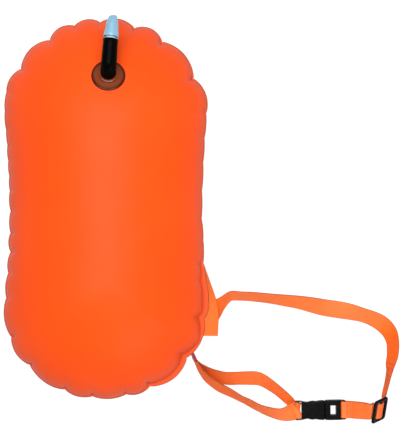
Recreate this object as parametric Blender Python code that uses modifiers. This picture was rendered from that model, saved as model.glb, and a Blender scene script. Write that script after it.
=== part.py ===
"""Open water swim buoy: an inflated pillow-shaped float with an oral valve and a buckled waist belt.

It lies on its back on the floor. +Z is up, +Y points to the float's valve end and +X to the belt.
The origin is the middle of the flat patch that the float rests on. All lengths are in metres.
"""

import math

import bmesh
import bpy
from mathutils import Matrix, Vector
from mathutils.bvhtree import BVHTree

# Float: two sheets welded together round their edge
SEAM_HALF_WIDTH = 0.133
SEAM_HALF_LENGTH = 0.259
TOP_CORNER_RADIUS = 0.125
BOTTOM_CORNER_RADIUS = 0.112
SPINE_HALF_LENGTH = 0.100
PANEL_RISE = 0.0905
SHEET_THICKNESS = 0.0007
WELD_LIP_WIDTH = 0.0065
WAIST_PINCH = 0.0065
WAIST_HALF_LENGTH = 0.140
ANCHOR_PATCH_WIDTH = 0.0050
ANCHOR_PATCH_FROM_END = 0.131
ANCHOR_PATCH_REACH = 0.030
PUCKER_DEPTH = 0.0045
SIDE_PUCKER_DEPTH = 0.0018
PUCKER_COUNT = 36
POINTS_PER_PUCKER = 3
FULLNESS_SHARE = 0.7
PUCKER_REACH_SHARE = 0.72
FRONT_RING_SHARES = (1.0, 0.93, 0.80, 0.63, 0.47, 0.30, 0.14)
BACK_RING_SHARES = (1.0, 0.93, 0.80, 0.63, 0.43, 0.22)
PATCH_CORNER_STEP = 9
PATCH_INSET_SHARE = 0.02

# Clearances
SEAT_GAP = 0.0003
OVERRUN = 0.004
WELD_DISTANCE = 0.000002

# Valve flange and neck
VALVE_X = 0.0108
VALVE_DISTANCE_FROM_END = 0.0837
FLANGE_RADIUS = 0.0226
FLANGE_THICKNESS = 0.0011
FLANGE_RIM_WIDTH = 0.0024
FLANGE_RIM_HEIGHT = 0.0006
FLANGE_DOME_RADIUS = 0.185
NECK_COLLAR_RADIUS = 0.0128
NECK_COLLAR_HEIGHT = 0.0024
NECK_SLEEVE_RADIUS = 0.0080
NECK_SPIGOT_RADIUS = 0.0063
NECK_SPIGOT_HEIGHT = 0.0055
NECK_BORE_RADIUS = 0.0046
NECK_DEPTH = 0.0065

# Inflation tube
TUBE_RADIUS = 0.0097
TUBE_BORE_RADIUS = 0.0068
TUBE_RISE = 0.0060
TUBE_BEND_RADIUS = 0.0140
TUBE_STRAIGHT_LENGTH = 0.0262
TUBE_LEAN_SIDE_DEG = 6.0
TUBE_DROOP_DEG = 6.0
TUBE_STEPS = 9

# Oral valve at the tube's end, along the tube's own axis
BODY_INSERT_LENGTH = 0.0110
BODY_INSERT_RADIUS = 0.0063
BODY_COLLAR_RADIUS = 0.0098
BODY_COLLAR_THICKNESS = 0.0012
BODY_SLEEVE_LENGTH = 0.0075
BODY_BORE_RADIUS = 0.0046
BODY_WEB_THICKNESS = 0.0020
BODY_WEB_BORE_RADIUS = 0.0024
PRESS_TRAVEL = 0.0022
MOUTH_LENGTH = 0.0292
MOUTH_BASE_RADIUS = 0.0100
MOUTH_TIP_RADIUS = 0.0052
MOUTH_SKIRT_DEPTH = 0.0082
MOUTH_BORE_RADIUS = 0.0029
STEM_RADIUS = 0.0014
STEM_HEAD_RADIUS = 0.0047
STEM_HEAD_THICKNESS = 0.0012
VANE_THICKNESS = 0.0009
VANE_LENGTH = 0.0120
SEAL_RADIUS = 0.0053
SEAL_THICKNESS = 0.0010
SPRING_RADIUS = 0.0036
SPRING_WIRE_RADIUS = 0.0004
SPRING_TURNS = 7
SPRING_POINTS_PER_TURN = 10

# The mouthpiece's side, from its tip down: how far it has narrowed, and its height
MOUTH_SIDE_SHARES = ((0.69, 0.84), (0.41, 0.68), (0.375, 0.50), (0.19, 0.26), (0.0, 0.10))

# Webbing
WEBBING_WIDTH = 0.025
WEBBING_THICKNESS = 0.0014
WEBBING_STEPS = 3
FLOOR_GAP = 0.0006

# Belt anchors on the weld lip
ANCHOR_STRIP_FROM_END = 0.081
ANCHOR_STRIP_LENGTH = 0.100
TAB_CORNER_DEG = -32.18
TAB_STANDOFF = 0.01247
TAB_LENGTH = 0.0085
TAB_WIDTH = 0.018
TAB_THICKNESS = 0.0031

# Places along the anchor strip, as shares of its length, and how steeply it hangs there
STEEPEST_DROP_DEG = 60
ANCHOR_HANG_SHARES = ((0.0, 16), (0.28, 17), (0.5, 36), (0.65, 52), (0.8, 66), (1.0, 82))

# Side-release buckle
SOCKET_LENGTH = 0.0430
PLUG_LENGTH = 0.0307
BUCKLE_HALF_WIDTH = 0.0146
BUCKLE_THICKNESS = 0.0095
BUCKLE_EDGE_RADIUS = 0.0014
SOCKET_WAIST_HALF_WIDTH = 0.0124
CAVITY_HEIGHT = 0.0056
CAVITY_DEPTH = 0.0315
CAVITY_WALL = 0.0019
CAVITY_WAIST_WALL = 0.0013
CAVITY_END_NARROWING = 0.0015
CAVITY_CORNER_RADIUS = 0.0040
WINDOW_START = 0.0168
WINDOW_LENGTH = 0.0140
BAR_WIDTH = 0.0034
BAR_THICKNESS = 0.0032
BAR_SETBACK = 0.0010
WEBBING_SLOT_WIDTH = 0.0050
SLOT_SIDE_CLEARANCE = 0.0005
BAR_ROOT = 0.0006           # how far a bar reaches into the arms
HAIRPIN_SETBACK = 0.0014
PLUG_WINDOW_WIDTH = 0.0080
PLUG_WINDOW_HALF_LENGTH = 0.0069
PLUG_WINDOW_START = 0.0082
TONGUE_HALF_WIDTH = 0.0026
TONGUE_LENGTH = 0.0190
PRONG_THICKNESS = 0.0050
PRONG_ARM_WIDTH = 0.0026
PRONG_ARM_OFFSET = 0.0095
PRONG_HEAD_LENGTH = 0.0130
PRONG_HEAD_WIDTH = 0.0056
PRONG_TIP_GAP = 0.0006
PRONG_GRIP_PROUD = 0.0009
BUCKLE_REST_HEIGHT = 0.0068
BUCKLE_TURN_DEG = 1.0

# Tri-glide slider
SLIDER_LENGTH = 0.0250
SLIDER_WIDTH = 0.0340
SLIDER_THICKNESS = 0.0030
SLIDER_CORNER_RADIUS = 0.0040
SLIDER_BAR_WIDTH = 0.0042
SLIDER_MIDDLE_BAR_WIDTH = 0.0036
SLIDER_SLOT_END_CLEARANCE = 0.0008
SLIDER_REST_HEIGHT = 0.0145
SLIDER_BARS_DEG = 86.0
SLIDER_BARS_SLOPE_DEG = 26.0
SLIDER_YAW_DEG = 7.0
SLIDER_PITCH_DEG = 20.0

# The straps' lay: routes are in shares of this length, from the origin
STRAP_LAY_LENGTH = 0.100
TAB_PLACE_SHARES = (1.2635, -2.133)
BELT_START_SHARE = 0.195
BELT_START_OUT = 0.0084
BELT_START_DROP = 0.0058
BUCKLE_PLACE_SHARES = (2.714, -2.956)
SLIDER_PLACE_SHARES = (3.930, -2.947)

# Belt: x share, y share, share of the seam's height over the floor, width direction and slope
BELT_ROUTE_SHARES = (
    (1.425, -1.585, 0.877, 141, 12),
    (1.515, -1.475, 0.715, 141, 25),
    (1.610, -1.365, 0.585, 138, 43),
    (1.692, -1.290, 0.555, 126, 54),
    (1.767, -1.245, 0.545, 105, 54),
    (1.889, -1.248, 0.515, 90, 57),
    (2.033, -1.256, 0.474, 88, 57),
    (2.208, -1.276, 0.407, 86, 56),
    (2.398, -1.301, 0.338, 84.5, 53),
    (2.591, -1.331, 0.264, 83, 46),
    (2.774, -1.361, 0.197, 82, 39),
    (2.950, -1.401, 0.147, 80, 27),
    (3.145, -1.447, 0.107, 77, 12),
    (3.340, -1.479, 0.077, 75, 6),
    (3.517, -1.512, 0.037, 73, 18),
    (3.693, -1.558, 0.0, 72, 32),
    (3.860, -1.617, 0.0, 62, 28),
    (3.994, -1.696, 0.0, 52, 22),
    (4.093, -1.808, 0.0, 35, 30),
    (4.139, -1.952, 0.0, 15, 47),
    (4.135, -2.140, 0.0, 5, 55),
    (4.103, -2.270, 0.0, 0, 68),
    (4.085, -2.372, 0.0, -3, 79),
    (4.072, -2.459, 0.0, -5, 89.5),
    (4.050, -2.568, 0.0, 175, 79),
    (4.030, -2.663, 0.0, 165, 76),
    (4.012, -2.736, 0.0, 125, 74),
)

# The belt's last stations by the slider, in its axes: shares of its length and width, width turn
BELT_END_SHARES = (
    (0.470, 0.27, -0.21, 0.24),
    (0.500, 0.12, -0.16, 0.06),
)

# Short strap, from the lower anchor to the buckle, along its upper run and back along its lower one
SHORT_UPPER_SHARES = (
    (1.270, -2.127, 0.694, 41, 80),
    (1.316, -2.189, 0.652, 43, 72),
    (1.394, -2.267, 0.592, 50, 62),
    (1.500, -2.350, 0.506, 60, 50),
    (1.638, -2.420, 0.393, 76, 43),
    (1.784, -2.450, 0.281, 88, 39),
    (1.938, -2.457, 0.181, 91, 38),
    (2.101, -2.472, 0.093, 88, 34),
    (2.235, -2.512, 0.019, 70, 40),
    (2.374, -2.599, 0.0, 52, 48),
    (2.513, -2.703, 0.0, 50, 58),
    (2.600, -2.800, 0.0, 62, 44),
    (2.636, -2.870, 0.0, 80, 20),
)
SHORT_LOWER_SHARES = (
    (2.595, -3.021, 0.0, 92, 38),
    (2.448, -3.008, 0.0, 78, 49),
    (2.286, -2.954, 0.0, 70, 54),
    (2.155, -2.896, 0.0, 64, 60),
    (2.006, -2.807, 0.066, 63, 63),
    (1.858, -2.725, 0.166, 63, 65),
    (1.681, -2.612, 0.325, 60, 58),
    (1.551, -2.518, 0.436, 55, 60),
    (1.436, -2.414, 0.545, 46, 65),
    (1.344, -2.298, 0.618, 35, 72),
    (1.288, -2.194, 0.660, 32, 77),
    (1.257, -2.139, 0.690, 41, 80),
)

# Plan outline of one half of the socket and of the plug's base: along and across shares
SOCKET_OUTLINE_SHARES = (
    (0.0, 0.94, 1.3), (0.06, 0.965, 2.0), (0.20, 0.955, 8.0), (0.36, 0.84, 12.0),
    (0.50, 0.815, 14.0), (0.66, 0.86, 14.0), (0.84, 0.965, 12.0), (1.0, 0.98, 1.2),
)
PLUG_OUTLINE_SHARES = (
    (0.0, 0.98, 1.2), (0.24, 1.0, 10.0), (0.72, 1.0, 8.0), (0.93, 0.965, 3.0), (1.0, 0.94, 1.3),
)

COLOURS = {
    "float_pvc": ((0.93, 0.20, 0.035, 1.0), 0.35),
    "anchor_pvc": ((0.70, 0.06, 0.03, 1.0), 0.40),
    "flange_pvc": ((0.28, 0.07, 0.03, 1.0), 0.18),
    "black_rubber": ((0.012, 0.012, 0.013, 1.0), 0.25),
    "grey_plastic": ((0.72, 0.75, 0.76, 1.0), 0.35),
    "blue_plastic": ((0.36, 0.62, 0.80, 1.0), 0.35),
    "seal_rubber": ((0.06, 0.06, 0.06, 1.0), 0.60),
    "spring_steel": ((0.60, 0.60, 0.62, 1.0), 0.25),
    "webbing": ((0.95, 0.27, 0.07, 1.0), 0.75),
    "buckle_plastic": ((0.015, 0.015, 0.016, 1.0), 0.33),
}


# Scene, collections and materials


def clear_scene():
    for obj in list(bpy.data.objects):
        bpy.data.objects.remove(obj, do_unlink=True)


def new_collection(name, hidden=False):
    made = bpy.data.collections.new(name)
    bpy.context.scene.collection.children.link(made)
    made.hide_render = hidden
    return made


def material(name):
    made = bpy.data.materials.get(name)
    if made is None:
        made = bpy.data.materials.new(name)
        made.use_nodes = True
        shader = made.node_tree.nodes["Principled BSDF"]
        colour, roughness = COLOURS[name]
        shader.inputs["Base Color"].default_value = colour
        shader.inputs["Roughness"].default_value = roughness
        shader.inputs["Metallic"].default_value = 1.0 if name == "spring_steel" else 0.0
        made.diffuse_color = colour
    return made


def add_object(name, data, material_name, frame=None):
    obj = bpy.data.objects.new(name, data)
    PARTS.objects.link(obj)
    data.materials.append(material(material_name))
    obj.parent = frame
    return obj


def add_cutter(obj):
    """Turns an object into a cutter: out of the render, and drawn as a wire."""
    for holder in obj.users_collection:
        holder.objects.unlink(obj)
    CUTTERS.objects.link(obj)
    obj.hide_render = True
    obj.display_type = "WIRE"
    return obj


def add_frame(name, matrix):
    """An empty that carries a group of pieces in its own axes."""
    empty = bpy.data.objects.new(name, None)
    empty.empty_display_size = WEBBING_WIDTH
    PARTS.objects.link(empty)
    empty.matrix_world = matrix
    return empty


def cut(target, cutter, operation="DIFFERENCE", solver="EXACT"):
    modifier = target.modifiers.new(cutter.name, "BOOLEAN")
    modifier.operation = operation
    modifier.object = cutter
    modifier.solver = solver


# Shape helpers


def axes_matrix(x_axis, y_axis, z_axis, place):
    matrix = Matrix((x_axis, y_axis, z_axis)).transposed().to_4x4()
    matrix.translation = place
    return matrix


def mesh_from_curve(curve_object):
    """A closed mesh object with the evaluated shape of a curve object, which it replaces."""
    bpy.context.view_layer.update()
    graph = bpy.context.evaluated_depsgraph_get()
    mesh = bpy.data.meshes.new_from_object(curve_object.evaluated_get(graph))
    shape = bmesh.new()
    shape.from_mesh(mesh)
    bmesh.ops.remove_doubles(shape, verts=shape.verts, dist=WELD_DISTANCE)
    bmesh.ops.recalc_face_normals(shape, faces=shape.faces)
    shape.to_mesh(mesh)
    shape.free()
    name, parent = curve_object.name, curve_object.parent
    local = curve_object.matrix_local.copy()
    bpy.data.objects.remove(curve_object, do_unlink=True)
    made = bpy.data.objects.new(name, mesh)
    PARTS.objects.link(made)
    made.parent = parent
    made.matrix_local = local
    return made


def plate(name, outline, thickness, material_name, frame, edge_radius=0.0, place=(0, 0, 0)):
    """A flat outline with its thickness centred on the frame's XY plane and rounded edges."""
    curve = bpy.data.curves.new(name, "CURVE")
    curve.dimensions = "2D"
    curve.fill_mode = "BOTH"
    curve.extrude = thickness / 2 - edge_radius
    curve.bevel_depth = edge_radius
    curve.offset = -edge_radius
    curve.bevel_resolution = 1
    spline = curve.splines.new("POLY")
    spline.points.add(len(outline) - 1)
    for point, (x, y) in zip(spline.points, outline):
        point.co = (x, y, 0, 1)
    spline.use_cyclic_u = True
    obj = add_object(name, curve, material_name, frame)
    obj.location = place
    return mesh_from_curve(obj)


def block_cutter(name, low, high, frame):
    """A box cutter between two corners of a frame."""
    bpy.ops.mesh.primitive_cube_add(size=1)
    obj = bpy.context.object
    obj.name = name
    obj.parent = frame
    obj.location = [(a + b) / 2 for a, b in zip(low, high)]
    obj.scale = [b - a for a, b in zip(low, high)]
    return add_cutter(obj)


def turned(name, profile, material_name, frame, steps):
    """A profile of (radius, height) points turned about the frame's Z axis."""
    shape = bmesh.new()
    points = [shape.verts.new((radius, 0, height)) for radius, height in profile]
    closed = profile[0][0] > 0 and profile[-1][0] > 0
    for first, second in zip(points, points[1:] + (points[:1] if closed else [])):
        shape.edges.new((first, second))
    mesh = bpy.data.meshes.new(name)
    shape.to_mesh(mesh)
    shape.free()
    obj = add_object(name, mesh, material_name, frame)
    screw = obj.modifiers.new("turn", "SCREW")
    screw.steps = screw.render_steps = steps
    screw.use_merge_vertices = True
    screw.merge_threshold = WELD_DISTANCE
    screw.use_smooth_shade = True
    return obj


def swept(name, points, radius, material_name, frame, sides_step=3):
    """A round bar along a list of points."""
    curve = bpy.data.curves.new(name, "CURVE")
    curve.dimensions = "3D"
    curve.bevel_depth = radius
    curve.bevel_resolution = sides_step
    curve.use_fill_caps = True
    spline = curve.splines.new("POLY")
    spline.points.add(len(points) - 1)
    for point, place in zip(spline.points, points):
        point.co = (*place, 1)
    return add_object(name, curve, material_name, frame)


def rounded(corners, steps=4):
    """The outline through (x, y, radius) corners, with an arc at each one."""
    outline = []
    count = len(corners)
    for index, (x, y, radius) in enumerate(corners):
        here = Vector((x, y))
        before = Vector(corners[index - 1][:2]) - here
        after = Vector(corners[(index + 1) % count][:2]) - here
        half_angle = before.angle(after) / 2
        reach = min(radius / math.tan(half_angle), before.length / 2.05, after.length / 2.05)
        radius = reach * math.tan(half_angle)
        if radius < WELD_DISTANCE:
            outline.append((x, y))
            continue
        middle = here + (before.normalized() + after.normalized()).normalized() * math.hypot(
            reach, radius)
        start = here + before.normalized() * reach - middle
        sweep = (here + after.normalized() * reach - middle).angle_signed(start)
        arc = max(1, round(steps * abs(sweep) / (math.pi / 2)))
        for step in range(arc + 1):
            turn = Matrix.Rotation(sweep * step / arc, 2)
            outline.append(tuple(middle + turn @ start))
    return outline


def mirrored_outline(shares, length, half_width, radius_unit):
    """A closed outline from the shares of one half, mirrored across the long axis."""
    upper = [(a * length, b * half_width, r * radius_unit) for a, b, r in shares]
    return rounded(upper + [(a, -b, r) for a, b, r in reversed(upper)])[::-1]


def smooth(points, steps):
    """Points on a curve through all the given points, with even steps between each two."""
    padded = [points[0] * 2 - points[1], *points, points[-1] * 2 - points[-2]]
    made = []
    for a, b, c, d in zip(padded, padded[1:], padded[2:], padded[3:]):
        for step in range(steps):
            t = step / steps
            made.append(
                (b * 2 + (c - a) * t + (a * 2 - b * 5 + c * 4 - d) * t**2
                 + (b * 3 - a - c * 3 + d) * t**3) / 2
            )
    return made + [points[-1]]


def width_vector(direction_deg, slope_deg):
    direction, slope = math.radians(direction_deg), math.radians(slope_deg)
    level = math.cos(slope)
    return Vector((level * math.cos(direction), level * math.sin(direction), math.sin(slope)))


def ribbon(name, stations, frame, steps=WEBBING_STEPS, width=WEBBING_WIDTH,
           thickness=WEBBING_THICKNESS, material_name="webbing"):
    """Webbing through (centre, width direction) stations, as an open strip with a thickness."""
    centres = smooth([centre for centre, _ in stations], steps)
    directions = smooth([direction for _, direction in stations], steps)
    shape = bmesh.new()
    rows = []
    for centre, direction in zip(centres, directions):
        half = direction.normalized() * width / 2
        rows.append((shape.verts.new(centre - half), shape.verts.new(centre + half)))
    for (a, b), (c, d) in zip(rows, rows[1:]):
        shape.faces.new((a, b, d, c))
    mesh = bpy.data.meshes.new(name)
    shape.to_mesh(mesh)
    shape.free()
    obj = add_object(name, mesh, material_name, frame)
    solidify = obj.modifiers.new("thickness", "SOLIDIFY")
    solidify.thickness = thickness
    solidify.offset = 0
    return obj


# Float


def half_girth(radial_share):
    """Height of a panel over the seam plane, at a share of the way from its spine to the seam."""
    return PANEL_RISE * max(0.0, 1 - radial_share**2) ** FULLNESS_SHARE


SEAM_HEIGHT = half_girth(BACK_RING_SHARES[-1]) + SHEET_THICKNESS + SEAT_GAP / 2


def quarter_length(radius):
    return SEAM_HALF_WIDTH + SEAM_HALF_LENGTH - 2 * radius + radius * math.pi / 2


def seam_length():
    return 2 * (quarter_length(TOP_CORNER_RADIUS) + quarter_length(BOTTOM_CORNER_RADIUS))


def waist_pinch(y):
    """How far the sides lean in at a distance from the middle of the float."""
    return WAIST_PINCH * math.cos(math.pi / 2 * min(1, abs(y) / WAIST_HALF_LENGTH)) ** 2


def seam_point(distance):
    """A point of the seam line and its outward direction, at a distance along it from +X."""
    side_x, side_y, rest = 1, 1, distance % seam_length()
    top, bottom = quarter_length(TOP_CORNER_RADIUS), quarter_length(BOTTOM_CORNER_RADIUS)
    if rest > 2 * top + bottom:
        side_y, rest = -1, seam_length() - rest
    elif rest > 2 * top:
        side_x, side_y, rest = -1, -1, rest - 2 * top
    elif rest > top:
        side_x, rest = -1, 2 * top - rest
    radius = TOP_CORNER_RADIUS if side_y > 0 else BOTTOM_CORNER_RADIUS
    flat_x = SEAM_HALF_WIDTH - radius
    flat_y = SEAM_HALF_LENGTH - radius
    if rest < flat_y:
        x, y, angle = SEAM_HALF_WIDTH, rest, 0.0
    elif rest < flat_y + radius * math.pi / 2:
        angle = (rest - flat_y) / radius
        x = flat_x + radius * math.cos(angle)
        y = flat_y + radius * math.sin(angle)
    else:
        x, y, angle = quarter_length(radius) - rest, SEAM_HALF_LENGTH, math.pi / 2
    x -= waist_pinch(y)
    outward = Vector((side_x * math.cos(angle), side_y * math.sin(angle), 0))
    return Vector((side_x * x, side_y * y, 0)), outward


def spine_point(place):
    return Vector((0, max(-SPINE_HALF_LENGTH, min(SPINE_HALF_LENGTH, place.y)), 0))


def lip_width(place):
    """The weld lip is wider where the belt's anchor strip is sewn to it."""
    if place.x < 0:
        return WELD_LIP_WIDTH
    distance = (place.y + SEAM_HALF_LENGTH - ANCHOR_PATCH_FROM_END) / ANCHOR_PATCH_REACH
    return WELD_LIP_WIDTH + ANCHOR_PATCH_WIDTH * math.exp(-(distance**2))


def panel_ring(share):
    """One ring of panel points. The rings near the seam dip in at each pucker."""
    count = PUCKER_COUNT * POINTS_PER_PUCKER
    fade = max(0.0, (min(share, 1) - PUCKER_REACH_SHARE) / (1 - PUCKER_REACH_SHARE)) ** 2
    ring = []
    for index in range(count):
        place, outward = seam_point(seam_length() * (index + 0.5) / count)
        along_side = abs(outward.x) ** 8
        depth = PUCKER_DEPTH + (SIDE_PUCKER_DEPTH - PUCKER_DEPTH) * along_side
        if index % POINTS_PER_PUCKER == 0:
            place = place - outward * depth * fade
        if share > 1:
            ring.append(place + outward * lip_width(place))
        else:
            ring.append(spine_point(place).lerp(place, share))
    return ring


def patch_ring(ring):
    """The flat patch has few corners, so that it rests steadily. Points between them lie inside."""
    shaped = []
    for index, place in enumerate(ring):
        step = index % PATCH_CORNER_STEP
        first = ring[index - step]
        last = ring[(index - step + PATCH_CORNER_STEP) % len(ring)]
        chord = first.lerp(last, step / PATCH_CORNER_STEP)
        shaped.append(chord * (1 - PATCH_INSET_SHARE) if step else place)
    return shaped


def panel(name, ring_shares, side):
    """One sheet of the float: side is 1 for the front sheet and -1 for the back one."""
    shape = bmesh.new()
    level = SEAM_HEIGHT + side * SEAT_GAP / 2
    rings = []
    for share in (1 + WELD_LIP_WIDTH, *ring_shares):
        height = level + side * half_girth(min(share, 1))
        ring = panel_ring(share)
        if side < 0 and share == ring_shares[-1]:
            ring = patch_ring(ring)
        rings.append([shape.verts.new((p.x, p.y, height)) for p in ring])
    count = len(rings[0])
    for outer, inner in zip(rings, rings[1:]):
        for index in range(count):
            after = (index + 1) % count
            face = [outer[index], outer[after], inner[after], inner[index]]
            shape.faces.new(face if side > 0 else face[::-1])
    shape.faces.new(rings[-1] if side > 0 else rings[-1][::-1])
    mesh = bpy.data.meshes.new(name)
    shape.to_mesh(mesh)
    shape.free()
    obj = add_object(name, mesh, "float_pvc")
    solidify = obj.modifiers.new("sheet", "SOLIDIFY")
    solidify.thickness = SHEET_THICKNESS
    solidify.offset = 1
    solidify.use_even_offset = True
    return obj


def front_surface(x, y):
    """Height of the front sheet's inner face, on the smooth form that the rings follow."""
    beyond = max(0.0, abs(y) - SPINE_HALF_LENGTH)
    reach_y = SEAM_HALF_LENGTH - SPINE_HALF_LENGTH
    share = math.hypot(x / SEAM_HALF_WIDTH, beyond / reach_y)
    return SEAM_HEIGHT + SEAT_GAP / 2 + half_girth(share)


def seat_lift(front, matrix):
    """How far the flange must rise along its axis for its dome to clear the sheet all round."""
    graph = bpy.context.evaluated_depsgraph_get()
    tree = BVHTree.FromObject(front, graph)
    up = matrix.to_3x3().col[2]
    lift = -FLANGE_THICKNESS * 10
    for ring in range(6):
        radius = NECK_COLLAR_RADIUS + (FLANGE_RADIUS - NECK_COLLAR_RADIUS) * ring / 5
        for step in range(48):
            angle = 2 * math.pi * step / 48
            spot = matrix @ Vector((radius * math.cos(angle), radius * math.sin(angle),
                                    dome(radius)))
            hit = tree.ray_cast(spot + up * OVERRUN * 2, -up)[0]
            lift = max(lift, (hit - spot).dot(up))
    return lift


def valve_matrix():
    """Axes of the valve: its Z is square to the front sheet, and its Y leans to the float's end."""
    y = SEAM_HALF_LENGTH - VALVE_DISTANCE_FROM_END
    step = SHEET_THICKNESS
    slope_x = (front_surface(VALVE_X + step, y) - front_surface(VALVE_X - step, y)) / (2 * step)
    slope_y = (front_surface(VALVE_X, y + step) - front_surface(VALVE_X, y - step)) / (2 * step)
    up = Vector((-slope_x, -slope_y, 1)).normalized()
    along = Vector((0, 1, slope_y)).normalized()
    side = along.cross(up)
    place = Vector((VALVE_X, y, front_surface(VALVE_X, y))) + up * SHEET_THICKNESS
    return axes_matrix(side, up.cross(side), up, place)


def dome(radius, level=0.0):
    """Depth of a domed disc's face below its middle."""
    return level - (FLANGE_DOME_RADIUS - math.sqrt(FLANGE_DOME_RADIUS**2 - radius**2))


def domed_ring(name, inner, outer, low, high, rim_width, rim_height, material_name, frame):
    """A ring that follows the sheet's crown, with a raised outer rim."""
    rim = outer - rim_width
    middle = (inner + rim) / 2
    chamfer = rim_height / 2
    profile = [
        (inner, dome(inner, high)), (middle, dome(middle, high)), (rim, dome(rim, high)),
        (rim + chamfer, dome(rim, high) + rim_height),
        (outer - chamfer, dome(outer, high) + rim_height), (outer, dome(outer, high)),
        (outer, dome(outer, low)), (rim, dome(rim, low)), (middle, dome(middle, low)),
        (inner, dome(inner, low)),
    ]
    return turned(name, profile, material_name, frame, 40)


def valve_base(frame, front):
    """Flange on the sheet and the neck that goes through both."""
    hole_radius = NECK_SLEEVE_RADIUS + SEAT_GAP
    domed_ring("valve_flange", hole_radius, FLANGE_RADIUS, SEAT_GAP, SEAT_GAP + FLANGE_THICKNESS,
               FLANGE_RIM_WIDTH, FLANGE_RIM_HEIGHT, "flange_pvc", frame)
    seat = FLANGE_THICKNESS + 2 * SEAT_GAP
    collar_top = seat + NECK_COLLAR_HEIGHT
    chamfer = NECK_COLLAR_HEIGHT / 3
    turned("valve_neck", [
        (NECK_BORE_RADIUS, collar_top + NECK_SPIGOT_HEIGHT),
        (NECK_SPIGOT_RADIUS, collar_top + NECK_SPIGOT_HEIGHT),
        (NECK_SPIGOT_RADIUS, collar_top), (NECK_COLLAR_RADIUS - chamfer, collar_top),
        (NECK_COLLAR_RADIUS, collar_top - chamfer), (NECK_COLLAR_RADIUS, seat),
        (NECK_SLEEVE_RADIUS, seat), (NECK_SLEEVE_RADIUS, -NECK_DEPTH),
        (NECK_BORE_RADIUS, -NECK_DEPTH),
    ], "flange_pvc", frame, 32)
    bpy.ops.mesh.primitive_cylinder_add(vertices=32, radius=hole_radius, depth=2 * NECK_DEPTH)
    hole = bpy.context.object
    hole.name = "valve_hole"
    hole.parent = frame
    cut(front, add_cutter(hole))
    return collar_top + SEAT_GAP


def tube_axis(frame, base_height):
    """The inflation tube's centre line, in world places: up, round an elbow and over the end."""
    matrix = frame.matrix_world
    up = matrix.to_3x3().col[2].normalized()
    lean, droop = math.radians(TUBE_LEAN_SIDE_DEG), math.radians(TUBE_DROOP_DEG)
    out = Vector((math.sin(lean) * math.cos(droop), math.cos(lean) * math.cos(droop),
                  -math.sin(droop)))
    across = (out - up * out.dot(up)).normalized()
    bend = up.angle(out)
    start = matrix.translation + up * base_height
    points = [start, start + up * TUBE_RISE]
    for step in range(1, TUBE_STEPS + 1):
        angle = bend * step / TUBE_STEPS
        points.append(points[1] + up * TUBE_BEND_RADIUS * math.sin(angle)
                      + across * TUBE_BEND_RADIUS * (1 - math.cos(angle)))
    end = points[-1] + out * TUBE_STRAIGHT_LENGTH
    return points, end, out


def inflation_tube(points, end, out):
    """The elbow tube with its bore."""
    start_run = (points[0] - points[1]).normalized()
    outer = mesh_from_curve(swept("inflation_tube", [*points, end], TUBE_RADIUS,
                                  "black_rubber", None, 8))
    bore_points = [points[0] + start_run * OVERRUN, *points, end + out * OVERRUN]
    bore = mesh_from_curve(swept("tube_bore", bore_points, TUBE_BORE_RADIUS,
                                 "black_rubber", None, 6))
    cut(outer, add_cutter(bore))
    return outer


# Oral valve in the tube's end, with Z pointing out of the mouthpiece


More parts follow.
